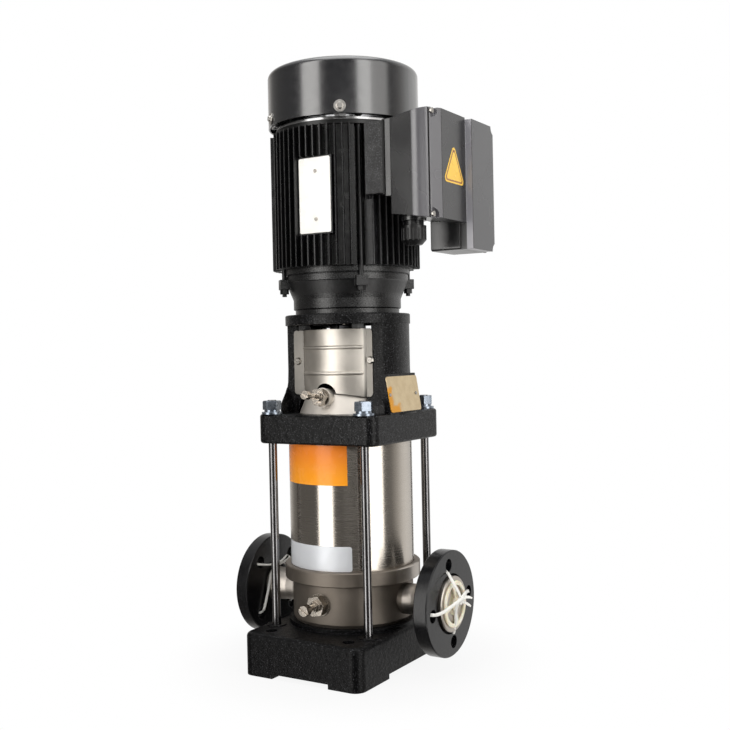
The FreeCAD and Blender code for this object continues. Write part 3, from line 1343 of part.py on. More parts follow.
# mounting foot towards the motor
sk = sketch(b, "YZ_Plane", "boss_x + 2")
rect(sk, "-cheek_half_y + 0.6", "boss_low - 4", "boss_half_y + 4", "boss_high + 1")
pad(b, sk, "tb_back - boss_x - 1")
# flat boss for the cable gland
sk = sketch(b, "XY_Plane", "tb_bottom + 0.2")
circle(sk, "gland_x", "gland_y", "13.4")
pad(b, sk, "10")
# rounded front corner
sk = sketch(b, "XY_Plane", "tb_bottom - 10")
poly(sk, [("121", "tb_front - 4"), ("121", "tb_front + 0.69"),
          ("tb_part + 0.5", "tb_front + 7"), ("tb_part + 0.5", "tb_front - 4")],
     {1: (130.0, -60.1, None)})
pocket(b, sk, None, reverse=True)
# hollow inside: wiring room and capacitor room
sk = sketch(b, "YZ_Plane", "tb_back + tb_wall")
rect(sk, "tb_front + 10.5", "tb_bottom + 6.5 + tb_wall", "tb_step - 1", "tb_top - 6.5 - tb_wall")
pocket(b, sk, "60", reverse=True)
sk = sketch(b, "YZ_Plane", "cap_back + tb_wall")
rect(sk, "tb_step + tb_wall", "cap_bottom + tb_wall", "tb_rear - tb_wall", "cap_top - tb_wall")
pocket(b, sk, "60", reverse=True)
# lead openings: to the motor, and between the rooms
sk = sketch(b, "YZ_Plane", "boss_x")
rect(sk, "-16", "566", "10", "586")
pocket(b, sk, "20", reverse=True)
sk = sketch(b, "XZ_Plane", "-tb_step - 8")
rect(sk, "112", "520", "130", "560")
pocket(b, sk, "20", reverse=True)
# gland entry
sk = sketch(b, "XY_Plane", "tb_bottom - 3")
circle(sk, "gland_x", "gland_y", "8.2")
pocket(b, sk, "20", reverse=True)
# lid screw holes
SCREWS = [("tb_front + 10.8", "tb_top - 3.6"), ("tb_front + 10.8", "tb_bottom + 3.6"),
          ("tb_rear - 4", "cap_top - 4"), ("tb_rear - 4", "cap_bottom + 4")]
sk = sketch(b, "YZ_Plane", "tb_part - 8")
for y, z in SCREWS:
    circle(sk, y, z, "1.6")
pocket(b, sk, "10", reverse=True)
dress(b, "Fillet", "4",
      lambda e: e.Curve.TypeId == "Part::GeomLine" and abs(e.BoundBox.YMin - D["tb_rear"]) < 1e-3
      and e.BoundBox.XLength > 20)
dress(b, "Fillet", "3",
      lambda e: e.Curve.TypeId == "Part::GeomLine" and abs(e.BoundBox.ZMax - D["cap_bottom"]) < 1e-3
      and abs(e.BoundBox.YMax - D["tb_step"]) < 1e-3 and e.BoundBox.XLength > 20)
doc.recompute()

b = new_body("terminal_box_lid")
sk = sketch(b, "YZ_Plane", "tb_part + 0.6")
poly(sk, [("tb_front + 7", "tb_bottom"), ("tb_step", "tb_bottom"), ("tb_step", "cap_bottom"),
          ("tb_rear", "cap_bottom"), ("tb_rear", "cap_top"), ("tb_step", "cap_top"),
          ("tb_step", "tb_top"), ("tb_front + 7", "tb_top")])
pad(b, sk, "tb_lid_f - tb_part - 0.6")
sk = sketch(b, "YZ_Plane", "tb_lid_f - 1")
rect(sk, "tb_step", "cap_bottom", "tb_rear", "cap_top")
pad(b, sk, "tb_lid_r - tb_lid_f + 1")
# the step between the two sections leans a little
sk = sketch(b, "XY_Plane", "cap_bottom - 5")
poly(sk, [("tb_lid_f", "tb_step - 1"), ("tb_lid_f", "tb_step"), ("tb_lid_r", "tb_step + 1.1"),
          ("tb_lid_r + 1", "tb_step + 1.1"), ("tb_lid_r + 1", "tb_step - 1")])
pocket(b, sk, None, reverse=True)
# slanted front corner facet
sk = sketch(b, "XY_Plane", "tb_bottom - 10")
poly(sk, [("tb_part", "tb_front + 4"), ("tb_part", "tb_front + 7"), ("tb_lid_f", "tb_front + 22"),
          ("tb_lid_f + 3", "tb_front + 22"), ("tb_lid_f + 3", "tb_front + 4")])
pocket(b, sk, None, reverse=True)
dress(b, "Fillet", "5",
      lambda e: e.Curve.TypeId == "Part::GeomLine" and abs(e.BoundBox.YMin - D["tb_rear"]) < 1e-3
      and abs(e.BoundBox.XMax - D["tb_lid_r"]) < 1e-3 and e.BoundBox.ZLength > 20)
# screw recesses: two on the slanted corner, two on the rear corners
for z_, k_ in ((D["tb_top"], 1), (D["tb_bottom"], -1)):
    yc_, zc_, r_ = D["tb_front"] + 11, z_ - 3.2 * k_, 6.8
    sk = sketch(b, "YZ_Plane", "tb_part + 1.6")
    poly(sk, [(yc_ - r_, z_ + 2 * k_), (yc_ - r_, zc_), (yc_ + r_, zc_), (yc_ + r_, z_ + 2 * k_)],
         {1: (yc_, zc_ - r_ * k_, None)})
    pocket(b, sk, "40", reverse=True)
sk = sketch(b, "YZ_Plane", "tb_part + 3.4")
circle(sk, "tb_rear", "cap_top", "9.5")
circle(sk, "tb_rear", "cap_bottom", "9.5")
pocket(b, sk, "40", reverse=True)
# hollow behind the lid
sk = sketch(b, "YZ_Plane", "tb_part")
rect(sk, "tb_front + 24", "tb_bottom + 3", "tb_step - 3", "tb_top - 3")
pocket(b, sk, "tb_lid_f - tb_part - 2.5", reverse=True)
sk = sketch(b, "YZ_Plane", "tb_part")
poly(sk, [("tb_step + 3", "cap_bottom + 3"), ("tb_rear - 12", "cap_bottom + 3"),
          ("tb_rear - 12", "cap_bottom + 12"), ("tb_rear - 3", "cap_bottom + 12"),
          ("tb_rear - 3", "cap_top - 12"), ("tb_rear - 12", "cap_top - 12"),
          ("tb_rear - 12", "cap_top - 3"), ("tb_step + 3", "cap_top - 3")])
pocket(b, sk, "tb_lid_r - tb_part - 2.5", reverse=True)
# screw holes
sk = sketch(b, "YZ_Plane", "tb_part - 1")
for y, z in SCREWS:
    circle(sk, y, z, "1.6")
pocket(b, sk, "20", reverse=True)
doc.recompute()
heads = []
for k, (y, z) in enumerate(SCREWS):
    seat = 1.7 if k < 2 else 3.5
    heads.append(fuse("lid_screw_%d" % k, [
        cyl("lid_shank_%d" % k, "1.5", str(seat + 1.1), ("136.7", y, z), (1, 0, 0)),
        cyl("lid_head_%d" % k, "2.9", "2.2", ("tb_part + %.1f" % seat, y, z), (1, 0, 0))]))
group("terminal_lid_screws", heads)

# gasket between the box and the motor boss
b = new_body("terminal_box_gasket")
sk = sketch(b, "YZ_Plane", "boss_x")
rect(sk, "-cheek_half_y - 1", "boss_low - 2", "boss_half_y + 2", "boss_high + 0.5")
pad(b, sk, "2")
sk = sketch(b, "YZ_Plane", "boss_x - 1")
rect(sk, "-16", "566", "16", "586")
pocket(b, sk, "10", reverse=True)

# terminal block with its studs
b = new_body("terminal_block")
sk = sketch(b, "YZ_Plane", "tb_back + tb_wall")
rect(sk, "-44", "505", "6", "545")
pad(b, sk, "12")
sk = sketch(b, "YZ_Plane", "tb_back + tb_wall + 12")
for y in ("-36", "-19", "-2"):
    for z in ("513", "537"):
        circle(sk, y, z, "2.4")
pad(b, sk, "9")
# start capacitor in the deep section
cyl_c = cyl("capacitor_can", "17", "95", (122.5, 44, "cap_bottom + 14"))
cap_t = cyl("capacitor_neck", "15", "4", (122.5, 44, "cap_bottom + 109"))
tabs = [box("capacitor_tab_%d" % k, "1", "6", "9", (122.5 + dx, 41, "cap_bottom + 112.5"))
        for k, dx in enumerate((-6, 5))]
fuse("capacitor", [cyl_c, cap_t] + tabs, True)

# cable gland: threaded body with locknut, and the dome nut
b = new_body("cable_gland_body")
sk = sketch(b, "XZ_Plane", "-gland_y")
poly(sk, [("gland_x + 5.3", "464"), ("gland_x + 7.6", "464"), ("gland_x + 7.6", "481"),
          ("gland_x + 10.6", "481"), ("gland_x + 10.6", "tb_bottom + 0.1"),
          ("gland_x + 8", "tb_bottom + 0.1"), ("gland_x + 8", "497"),
          ("gland_x + 5.3", "497")])
axis_sk = sk
f = b.newObject("PartDesign::Revolution", "rev_gland_body")
f.Profile = sk
line = sk.addGeometry(Part.LineSegment(V(val("gland_x"), 450, 0), V(val("gland_x"), 500, 0)), True)
sk.addConstraint(Sketcher.Constraint("Vertical", line))
_fix(sk, line, 1, "gland_x", "450")
f.ReferenceAxis = (sk, ["Axis0"])
f.Angle = 360.0
doc.recompute()
nut = fuse("gland_nut_blank", [
    cyl("gland_nut_skirt", "13.2", "14.9", ("gland_x", "gland_y", "466")),
    cone("gland_nut_dome", "8.6", "13.2", "5.2", ("gland_x", "gland_y", "460.8"))])
flutes = []
for k in range(14):
    a_ = 2 * math.pi * (k + 0.5) / 14
    flutes.append(cyl("gland_flute_%d" % k, "1.1", "13",
                      (D["gland_x"] + 13.5 * math.cos(a_), D["gland_y"] + 13.5 * math.sin(a_), 465.0)))
bore = fuse("gland_nut_bores", [
    cyl("gland_nut_bore", "8", "18", ("gland_x", "gland_y", "463.8")),
    cyl("gland_nut_mouth", "5.3", "10", ("gland_x", "gland_y", "459"))] + flutes)
cut("cable_gland_nut", nut, bore, True)

# ======================================================================
# drain plug, vent plug, their needles and rings
# ======================================================================
DRAIN_DIR = V(0, -1, 0)
DRAIN_POS = V(0, -D["drain_face"], D["port_z"])


def along(o, d, s_):
    return tuple(o + d * s_)


washer = cut("drain_washer",
             cyl("drain_washer_disc", "12.5", "1.5", along(DRAIN_POS, DRAIN_DIR, 0.02), (0, -1, 0)),
             cyl("drain_washer_hole", "8.3", "6", along(DRAIN_POS, DRAIN_DIR, -2), (0, -1, 0)))
vwasher = cut("vent_washer",
              cyl("vent_washer_disc", "10", "1.2", along(VENT_POS, vent_dir, 2.52), tuple(vent_dir)),
              cyl("vent_washer_hole", "5.2", "6", along(VENT_POS, vent_dir, 0), tuple(vent_dir)))
group("plug_gaskets", [washer, vwasher])

drain_solid = fuse("drain_plug_solid", [
    cyl("drain_shank", "8", "14", along(DRAIN_POS, DRAIN_DIR, -12), (0, -1, 0)),
    hexagon("drain_hex", "11.8", "9", along(DRAIN_POS, DRAIN_DIR, 1.55), (0, -1, 0), 11),
    hexagon("drain_hex_small", "6.9", "6", along(DRAIN_POS, DRAIN_DIR, 10.5), (0, -1, 0), 25)])
cut("drain_plug", drain_solid,
    fuse("drain_bores", [
        cyl("drain_bore", "needle_bore", "60", along(DRAIN_POS, DRAIN_DIR, -20), (0, -1, 0)),
        cyl("drain_ring_room", "5.2", "6", along(DRAIN_POS, DRAIN_DIR, 1), (0, -1, 0))]), True)
vent_solid = fuse("vent_plug_solid", [
    cyl("vent_shank", "5", "13", along(VENT_POS, vent_dir, -9), tuple(vent_dir)),
    hexagon("vent_hex", "9.8", "8", along(VENT_POS, vent_dir, 3.75), tuple(vent_dir), 7),
    cyl("vent_collar", "6.3", "3.5", along(VENT_POS, vent_dir, 11.7), tuple(vent_dir))])
cut("vent_plug", vent_solid,
    fuse("vent_bores", [
        cyl("vent_bore", "2.97", "60", along(VENT_POS, vent_dir, -20), tuple(vent_dir)),
        cyl("vent_ring_room", "4.4", "5.5", along(VENT_POS, vent_dir, 3.9), tuple(vent_dir))]), True)


def needle(name, pos, d, neck, start, head_at, head_len, head_r, ring_at):
    """Needle screw: cone point, neck, slotted head."""
    ax = tuple(d)
    parts_ = [cone(name + "_point", "0.6", neck - 0.6, "3.4", along(pos, d, start), ax),
              cyl(name + "_neck", neck, head_at - start - 3.4 + 0.5, along(pos, d, start + 3.4), ax),
              cone(name + "_chamfer", neck, head_r, "1.6", along(pos, d, head_at - 1.0), ax),
              cyl(name + "_head", head_r, head_len, along(pos, d, head_at + 0.6), ax)]
    blank = fuse(name + "_blank", parts_)
    groove_tool = cut(name + "_ring_groove",
                      cyl(name + "_groove_out", neck + 1, "2.2", along(pos, d, ring_at - 1.1), ax),
                      cyl(name + "_groove_in", neck - 0.9, "3", along(pos, d, ring_at - 1.5), ax))
    slot = box(name + "_slot", "1.6", head_r * 2 + 4, "3", (0, 0, 0))
    tip = pos + d * (head_at + 0.6 + head_len - 2.4)
    rot = FreeCAD.Rotation(V(0, 0, 1), d).multiply(FreeCAD.Rotation(V(0, 0, 1), 62))
    slot.Placement = FreeCAD.Placement(tip, rot).multiply(
        FreeCAD.Placement(V(-0.8, -(head_r + 2), 0), FreeCAD.Rotation()))
    cut(name, blank, fuse(name + "_cuts", [groove_tool, slot]), True)
    ring = doc.addObject("Part::Torus", name + "_ring")
    ring.Label = name + "_ring"
    ring.Radius1 = neck - 0.9 + 0.62 + 0.02
    ring.Radius2 = 0.6
    ring.Placement = FreeCAD.Placement(pos + d * ring_at, FreeCAD.Rotation(V(0, 0, 1), d))
    SUBS.append(ring)


needle("drain_needle", DRAIN_POS, DRAIN_DIR, D["needle_rad"], -19.0, 22.8, 8.8, 5.75, 3.2)
needle("vent_needle", VENT_POS, vent_dir, 2.9, -14.0, 28.4, 7.6, 4.75, 5.4)

# ======================================================================
# loose flanges with port caps and cable ties
# ======================================================================


def strap(name, paths):
    """Flat plastic strap along closed or open runs of straight pieces."""
    doc.recompute()
    wd, th = D["tie_width"], D["tie_thk"]
    solids = []
    for pts, wide in paths:
        wide = V(*wide)
        wide.normalize()
        pieces = []
        for a, b_ in zip(pts[:-1], pts[1:]):
            a, b_ = V(*a), V(*b_)
            run = b_ - a
            ln = run.Length
            run.normalize()
            side = wide - run * wide.dot(run)
            side.normalize()
            thick = run.cross(side)
            m = FreeCAD.Matrix(run.x, side.x, thick.x, a.x, run.y, side.y, thick.y, a.y,
                               run.z, side.z, thick.z, a.z, 0, 0, 0, 1)
            bx = Part.makeBox(ln + th * 0.9, wd, th, V(-th * 0.45, -wd / 2, -th / 2))
            pieces.append(bx.transformGeometry(m))
        s_ = pieces[0].fuse(pieces[1:]) if len(pieces) > 1 else pieces[0]
        solids.extend(s_.removeSplitter().Solids)
    o = doc.addObject("Part::Feature", name)
    o.Label = name
    o.Shape = Part.makeCompound(solids)
    SUBS.append(o)


def port_end(tag, s, turn):
    """s = +1 outlet side, -1 inlet side; turn is how far the loose flange
    sits off square, in degrees about +X."""
    f = new_body("flange_" + tag)
    sk = sketch(f, "XZ_Plane", 0, "port_z")
    p = "" if s > 0 else "-"

    def sx(e):
        """the same distance on this side of the pump"""
        if s > 0:
            return e
        toks = e.split()
        out = ["-" + toks[0]]
        for t_ in toks[1:]:
            out.append({"+": "-", "-": "+"}.get(t_, t_))
        return " ".join(out)

    poly(sk, [(sx("flange_face - flange_thk"), "flange_bore"),
              (sx("flange_face - flange_thk"), "flange_rad - 1"),
              (sx("flange_face - flange_thk + 1"), "flange_rad"),
              (sx("flange_face - 1"), "flange_rad"),
              (sx("flange_face"), "flange_rad - 1"),
              (sx("flange_face"), "flange_cbore"),
              (sx("lip_back - 0.3"), "flange_cbore"),
              (sx("lip_back - 0.3"), "flange_bore")])
    revolve(f, sk, "H_Axis")
    sk = sketch(f, "YZ_Plane", sx("flange_face - flange_thk - 1"))
    for k in range(4):
        a = math.radians(90.0 * k + turn)
        circle(sk, D["flange_pcr"] * math.cos(a),
               D["port_z"] + D["flange_pcr"] * math.sin(a), "flange_hole")
    pocket(f, sk, None, reverse=(s > 0))
    doc.recompute()
    # transport cap: disc on the lip, spigot in the bore, recessed quarters
    c = new_body("port_cap_" + tag)
    sk = sketch(c, "XZ_Plane", 0, "port_z")
    poly(sk, [(sx("112"), 0), (sx("112"), "port_bore_rad - 0.6"),
              (sx("lip_face + 0.1"), "port_bore_rad - 0.4"),
              (sx("lip_face + 0.1"), "cap_rad"),
              (sx("cap_face - 0.8"), "cap_rad"), (sx("cap_face"), "cap_rad - 0.8"),
              (sx("cap_face"), 0)])
    revolve(c, sk, "H_Axis")
    doc.recompute()
    for k in range(4):
        sk = sketch(c, "YZ_Plane", sx("cap_face + 1"))
        a0 = math.radians(90.0 * k + turn + 11)
        a1 = math.radians(90.0 * k + turn + 79)
        am = (a0 + a1) / 2
        ri, ro = 7.5, 20.5
        z0 = D["port_z"]
        poly(sk, [(ri * math.cos(a0), z0 + ri * math.sin(a0)),
                  (ro * math.cos(a0), z0 + ro * math.sin(a0)),
                  (ro * math.cos(a1), z0 + ro * math.sin(a1)),
                  (ri * math.cos(a1), z0 + ri * math.sin(a1))],
             {1: (ro * math.cos(am), z0 + ro * math.sin(am), None),
              3: (ri * math.cos(am), z0 + ri * math.sin(am), None)})
        pocket(c, sk, "3.2", reverse=(s < 0))
    doc.recompute()

    # two ties crossed over the cap, each through two opposite bolt holes
    zc = D["port_z"]

    def pt(x, r, ang):
        a = math.radians(ang + turn)
        return (s * x, r * math.cos(a), zc + r * math.sin(a))

    face = D["cap_face"]
    fb = D["flange_face"] - D["flange_thk"]

    def loop(ang, lift, back_r, side):
        """Over the cap, down through both holes and back beside the stub."""
        x1 = face + lift
        run = [pt(x1, 24.5, ang), pt(x1, -24.5, ang),
               pt(D["flange_face"] + 1.2, -37.5, ang), pt(fb - 1.2, -39.0, ang)]
        mid = V(*pt(fb - 2.4, 0, ang))
        a = math.radians(ang + turn + 90 * side)
        mid = mid + V(0, math.cos(a), math.sin(a)) * back_r
        run += [tuple(mid), pt(fb - 1.2, 39.0, ang), pt(D["flange_face"] + 1.2, 37.5, ang),
                pt(x1, 24.5, ang)]
        aw = math.radians(ang + turn + 90)
        return (run, (0, math.cos(aw), math.sin(aw)))

    runs = [loop(90, 1.0, 30.0, -1), loop(0, 2.6, 30.0, 1)]
    strap("cap_ties_" + tag, runs)


port_end("outlet", 1, 6.0)
port_end("inlet", -1, 46.0)

# ======================================================================
# checks and export
# ======================================================================
doc.recompute()
bad = [o.Name for o in doc.Objects if "Invalid" in o.State or "Error" in o.State]
if bad:
    raise RuntimeError("failed objects: " + ", ".join(bad))
labels = [o.Label for o in SUBS]
if len(labels) != len(set(labels)):
    raise RuntimeError("two sub-parts share a label")
for o in SUBS:
    s = o.Shape
    if s.isNull() or not s.isValid() or not s.Solids:
        raise RuntimeError("bad shape: " + o.Label)
os.makedirs("parts", exist_ok=True)
for o in SUBS:
    o.Shape.exportStep("parts/%s.step" % o.Label)
print("sub-parts:", len(SUBS))
for o in SUBS:
    bb = o.Shape.BoundBox
    print("%-26s solids %2d vol %9.0f  X %7.1f %7.1f  Y %7.1f %7.1f  Z %7.1f %7.1f" % (
        o.Label, len(o.Shape.Solids), o.Shape.Volume, bb.XMin, bb.XMax,
        bb.YMin, bb.YMax, bb.ZMin, bb.ZMax))
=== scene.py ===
import math

import bpy
import bmesh
from mathutils import Matrix, Vector


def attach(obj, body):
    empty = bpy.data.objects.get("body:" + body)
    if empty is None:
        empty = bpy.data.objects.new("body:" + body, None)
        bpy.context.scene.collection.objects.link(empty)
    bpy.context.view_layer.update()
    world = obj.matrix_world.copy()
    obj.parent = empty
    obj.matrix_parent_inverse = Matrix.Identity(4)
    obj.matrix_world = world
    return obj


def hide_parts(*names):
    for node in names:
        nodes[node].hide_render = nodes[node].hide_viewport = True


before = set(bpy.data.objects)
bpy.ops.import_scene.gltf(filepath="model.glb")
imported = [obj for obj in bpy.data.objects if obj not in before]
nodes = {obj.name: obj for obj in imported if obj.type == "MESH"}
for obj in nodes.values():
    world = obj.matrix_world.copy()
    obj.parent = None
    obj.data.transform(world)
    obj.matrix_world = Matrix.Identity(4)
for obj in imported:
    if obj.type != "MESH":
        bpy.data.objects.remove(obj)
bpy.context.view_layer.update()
scene = bpy.context.scene


# ----------------------------------------------------------------------
# node material helper
# ----------------------------------------------------------------------
def srgb(r, g, b):
    """an 0-255 display colour as linear RGBA"""
    out = []
    for c in (r, g, b):
        c = c / 255.0
        out.append(c / 12.92 if c <= 0.04045 else ((c + 0.055) / 1.055) ** 2.4)
    return (out[0], out[1], out[2], 1.0)


class Mat:
    def __init__(self, name, rough=0.4, metal=0.0, color=(0.5, 0.5, 0.5, 1.0), **sockets):
        self.m = bpy.data.materials.new(name)
        self.m.use_nodes = True
        self.t = self.m.node_tree
        self.t.nodes.clear()
        self.out = self.t.nodes.new("ShaderNodeOutputMaterial")
        self.b = self.t.nodes.new("ShaderNodeBsdfPrincipled")
        self.t.links.new(self.b.outputs[0], self.out.inputs[0])
        self.b.inputs["Base Color"].default_value = color
        self.b.inputs["Roughness"].default_value = rough
        self.b.inputs["Metallic"].default_value = metal
        for k, v in sockets.items():
            self.b.inputs[k.replace("_", " ")].default_value = v
        self.m.diffuse_color = color
        self.co = self.t.nodes.new("ShaderNodeTexCoord").outputs["Object"]
        self.height = None

    def node(self, kind, **props):
        n = self.t.nodes.new(kind)
        for k, v in props.items():
            setattr(n, k, v)
        return n

    def link(self, a, b):
        self.t.links.new(a, b)

    def scaled(self, sx, sy, sz, co=None):
        mp = self.node("ShaderNodeMapping")
        mp.inputs["Scale"].default_value = (sx, sy, sz)
        self.link(co or self.co, mp.inputs["Vector"])
        return mp.outputs[0]

    def noise(self, scale, detail=2.0, rough=0.5, vec=None, distortion=0.0):
        n = self.node("ShaderNodeTexNoise")
        n.inputs["Scale"].default_value = scale
        n.inputs["Detail"].default_value = detail
        n.inputs["Roughness"].default_value = rough
        n.inputs["Distortion"].default_value = distortion
        self.link(vec or self.co, n.inputs["Vector"])
        return n.outputs["Fac"]

    def cells(self, scale, feature="F1", vec=None):
        n = self.node("ShaderNodeTexVoronoi", feature=feature)
        n.inputs["Scale"].default_value = scale
        self.link(vec or self.co, n.inputs["Vector"])
        return n

    def remap(self, fac, a, b, lo=0.0, hi=1.0, smooth=True):
        n = self.node("ShaderNodeMapRange")
        if smooth:
            n.interpolation_type = "SMOOTHSTEP"
        n.inputs["From Min"].default_value = a
        n.inputs["From Max"].default_value = b
        n.inputs["To Min"].default_value = lo
        n.inputs["To Max"].default_value = hi
        self.link(fac, n.inputs["Value"])
        return n.outputs[0]

    def math(self, op, a, b=None, clamp=False):
        n = self.node("ShaderNodeMath", operation=op, use_clamp=clamp)
        for i, v in enumerate((a, b)):
            if v is None:
                continue
            if isinstance(v, (int, float)):
                n.inputs[i].default_value = v
            else:
                self.link(v, n.inputs[i])
        return n.outputs[0]

    def mix(self, fac, a, b):
        n = self.node("ShaderNodeMix", data_type="RGBA")
        self.link(fac, n.inputs["Factor"]) if not isinstance(fac, float) else None
        if isinstance(fac, float):
            n.inputs["Factor"].default_value = fac
        for sock, v in (("A", a), ("B", b)):
            target = [s for s in n.inputs if s.name == sock and s.type == "RGBA"][0]
            if isinstance(v, tuple):
                target.default_value = v
            else:
                self.link(v, target)
        return [s for s in n.outputs if s.type == "RGBA"][0]

    def color(self, sock):
        self.link(sock, self.b.inputs["Base Color"])

    def roughness(self, sock):
        self.link(sock, self.b.inputs["Roughness"])

    def bump(self, *layers, edge=0.0):
        """layers of (socket, height in metres); edge rounds sharp corners in the shading"""
        prev = None
        if edge > 0:
            bv = self.node("ShaderNodeBevel", samples=6)
            bv.inputs["Radius"].default_value = edge
            prev = bv.outputs[0]
        for sock, h in layers:
            n = self.node("ShaderNodeBump")
            n.inputs["Strength"].default_value = 1.0
            n.inputs["Distance"].default_value = h
            self.link(sock, n.inputs["Height"])
            if prev is not None:
                self.link(prev, n.inputs["Normal"])
            prev = n.outputs[0]
        if prev is not None:
            self.link(prev, self.b.inputs["Normal"])
        return self

    def xyz(self, co=None):
        n = self.node("ShaderNodeSeparateXYZ")
        self.link(co or self.co, n.inputs[0])
        return n.outputs


# ----------------------------------------------------------------------
# finishes
# ----------------------------------------------------------------------
def cast_paint(name, base=(5, 5, 6), glint_fleck=(72, 72, 75), grain=540.0, relief=0.00028, r0=0.28, r1=0.46,
               shine=0.12, amount=0.7, edge=0.0009):
    """thick black paint over sand cast iron; the pale flecks on the grains are painted glints"""
    k = Mat(name, color=srgb(*base), Specular_IOR_Level=shine)
    n1 = k.noise(grain, 3.0, 0.62)
    n2 = k.noise(grain * 0.30, 2.0, 0.5)
    n3 = k.noise(24.0, 2.0, 0.5)
    glint_spots = k.remap(k.noise(grain * 1.45, 1.0, 0.4), 0.62, 0.72)
    tone = k.mix(n3, srgb(*base), srgb(base[0] + 5, base[1] + 5, base[2] + 5))
    # painted glints: pale flecks mixed into the black at the grain spots
    k.color(k.mix(k.math("MULTIPLY", glint_spots, amount), tone, srgb(*glint_fleck)))
    k.roughness(k.remap(n1, 0.3, 0.7, r0, r1))
    k.bump((n2, relief * 1.6), (n1, relief), edge=edge)
    return k.m


def black_paint(name, base=(19, 19, 20), rough=(0.27, 0.38), grain=900.0, relief=0.00004, edge=0.0005, **sock):
    """smooth black machine enamel"""
    k = Mat(name, color=srgb(*base), **sock)
    n1 = k.noise(grain, 2.0, 0.5)
    n2 = k.noise(130.0, 2.0, 0.5)
    n3 = k.noise(16.0, 2.0, 0.5)
    k.color(k.mix(n3, srgb(*base), srgb(base[0] + 6, base[1] + 6, base[2] + 7)))
    k.roughness(k.remap(n2, 0.3, 0.7, rough[0], rough[1]))
    k.bump((n2, relief * 1.5), (n1, relief), edge=edge)
    return k.m


def steel(name, tint=(170, 163, 154), rough=(0.3, 0.4), grain=1500.0, relief=0.00001, cloud=30.0,
          stretch=None, edge=0.0004, spread=14, **sock):
    """bare metal; stretch lays the fine marks along one direction"""
    k = Mat(name, metal=1.0, color=srgb(*tint), **sock)
    vec = k.scaled(*stretch) if stretch else None
    n1 = k.noise(grain, 3.0, 0.6, vec=vec)
    n3 = k.noise(cloud, 3.0, 0.55)
    dark = tuple(max(0, c - spread) for c in tint)
    k.color(k.mix(k.remap(n3, 0.25, 0.75), srgb(*dark), srgb(*tint)))
    k.roughness(k.remap(k.math("ADD", k.math("MULTIPLY", n1, 0.55), k.math("MULTIPLY", n3, 0.45)),
                        0.3, 0.7, rough[0], rough[1]))
    k.bump((n1, relief), edge=edge)
    return k.m


def plastic(name, tint, rough=(0.38, 0.5), grain=1100.0, relief=0.00003, edge=0.0005, spread=5, **sock):
    k = Mat(name, color=srgb(*tint), **sock)
    n1 = k.noise(grain, 2.0, 0.5)
    n3 = k.noise(18.0, 2.0, 0.5)
    dark = tuple(max(0, c - spread) for c in tint)
    k.color(k.mix(k.remap(n3, 0.3, 0.7), srgb(*dark), srgb(*tint)))
    k.roughness(k.remap(n3, 0.3, 0.7, rough[0], rough[1]))
    k.bump((n1, relief), edge=edge)
    return k.m


M = {}
M["cast"] = cast_paint("cast_black_paint")
M["stool"] = cast_paint("stool_black_paint", base=(6, 6, 7), glint_fleck=(90, 90, 93), grain=600.0, relief=0.00026,
                        shine=0.20, r0=0.24, r1=0.40)


def motor_paint():
    """black enamel on the fins, over grainy skin on the flat pads of the terminal side"""
    k = Mat("motor_black_enamel", color=srgb(9, 9, 10), Specular_IOR_Level=0.55)
    pads = k.remap(k.xyz()[0], 0.0560, 0.0600)
    n1 = k.noise(760.0, 3.0, 0.62)
    n2 = k.noise(130.0, 2.0, 0.5)
    glint = k.math("MULTIPLY", k.remap(k.noise(1150.0, 1.0, 0.4), 0.56, 0.70), k.math("MULTIPLY", pads, 0.6))
    tone = k.mix(k.noise(16.0, 2.0, 0.5), srgb(8, 8, 9), srgb(14, 14, 16))
    # painted glints: pale specks on the flat pads
    k.color(k.mix(glint, tone, srgb(86, 86, 90)))
    k.roughness(k.math("ADD", k.remap(n2, 0.3, 0.7, 0.26, 0.38), k.math("MULTIPLY", pads, 0.16)))
    k.bump((n2, 0.00005), (k.math("MULTIPLY", n1, pads), 0.00016), edge=0.0005)
    return k.m


def shield_paint():
    """grainy black skin; the rim and the spigot ring are glossier than the neck between them"""
    k = Mat("shield_black_enamel", color=srgb(6, 6, 7), Specular_IOR_Level=0.62)
    z = k.xyz()[2]
    neck = k.math("MULTIPLY", k.remap(z, 0.4125, 0.4145), k.remap(z, 0.4260, 0.4285, 1.0, 0.0))
    n1 = k.noise(700.0, 3.0, 0.62)
    glint = k.math("MULTIPLY", k.remap(k.noise(1050.0, 1.0, 0.4), 0.60, 0.72), 0.5)
    tone = k.mix(k.noise(20.0, 2.0, 0.5), srgb(5, 5, 6), srgb(11, 11, 12))
    # painted glints: pale specks on the grain
    k.color(k.mix(glint, tone, srgb(66, 66, 70)))
    k.roughness(k.math("ADD", k.remap(n1, 0.3, 0.7, 0.22, 0.36), k.math("MULTIPLY", neck, 0.10)))
    k.bump((n1, 0.00018), edge=0.0008)
    return k.m


M["frame"] = motor_paint()
M["shield"] = shield_paint()
M["cover"] = black_paint("fan_cover_enamel", base=(17, 18, 21), rough=(0.20, 0.26), grain=500.0, relief=0.000010,
                         Specular_IOR_Level=1.0, Coat_Weight=1.0, Coat_Roughness=0.17)
M["flange"] = cast_paint("flange_black_paint", base=(11, 11, 13), glint_fleck=(58, 58, 62), grain=900.0,
                         relief=0.00005, r0=0.16, r1=0.26, shine=0.36, amount=0.5, edge=0.0006)


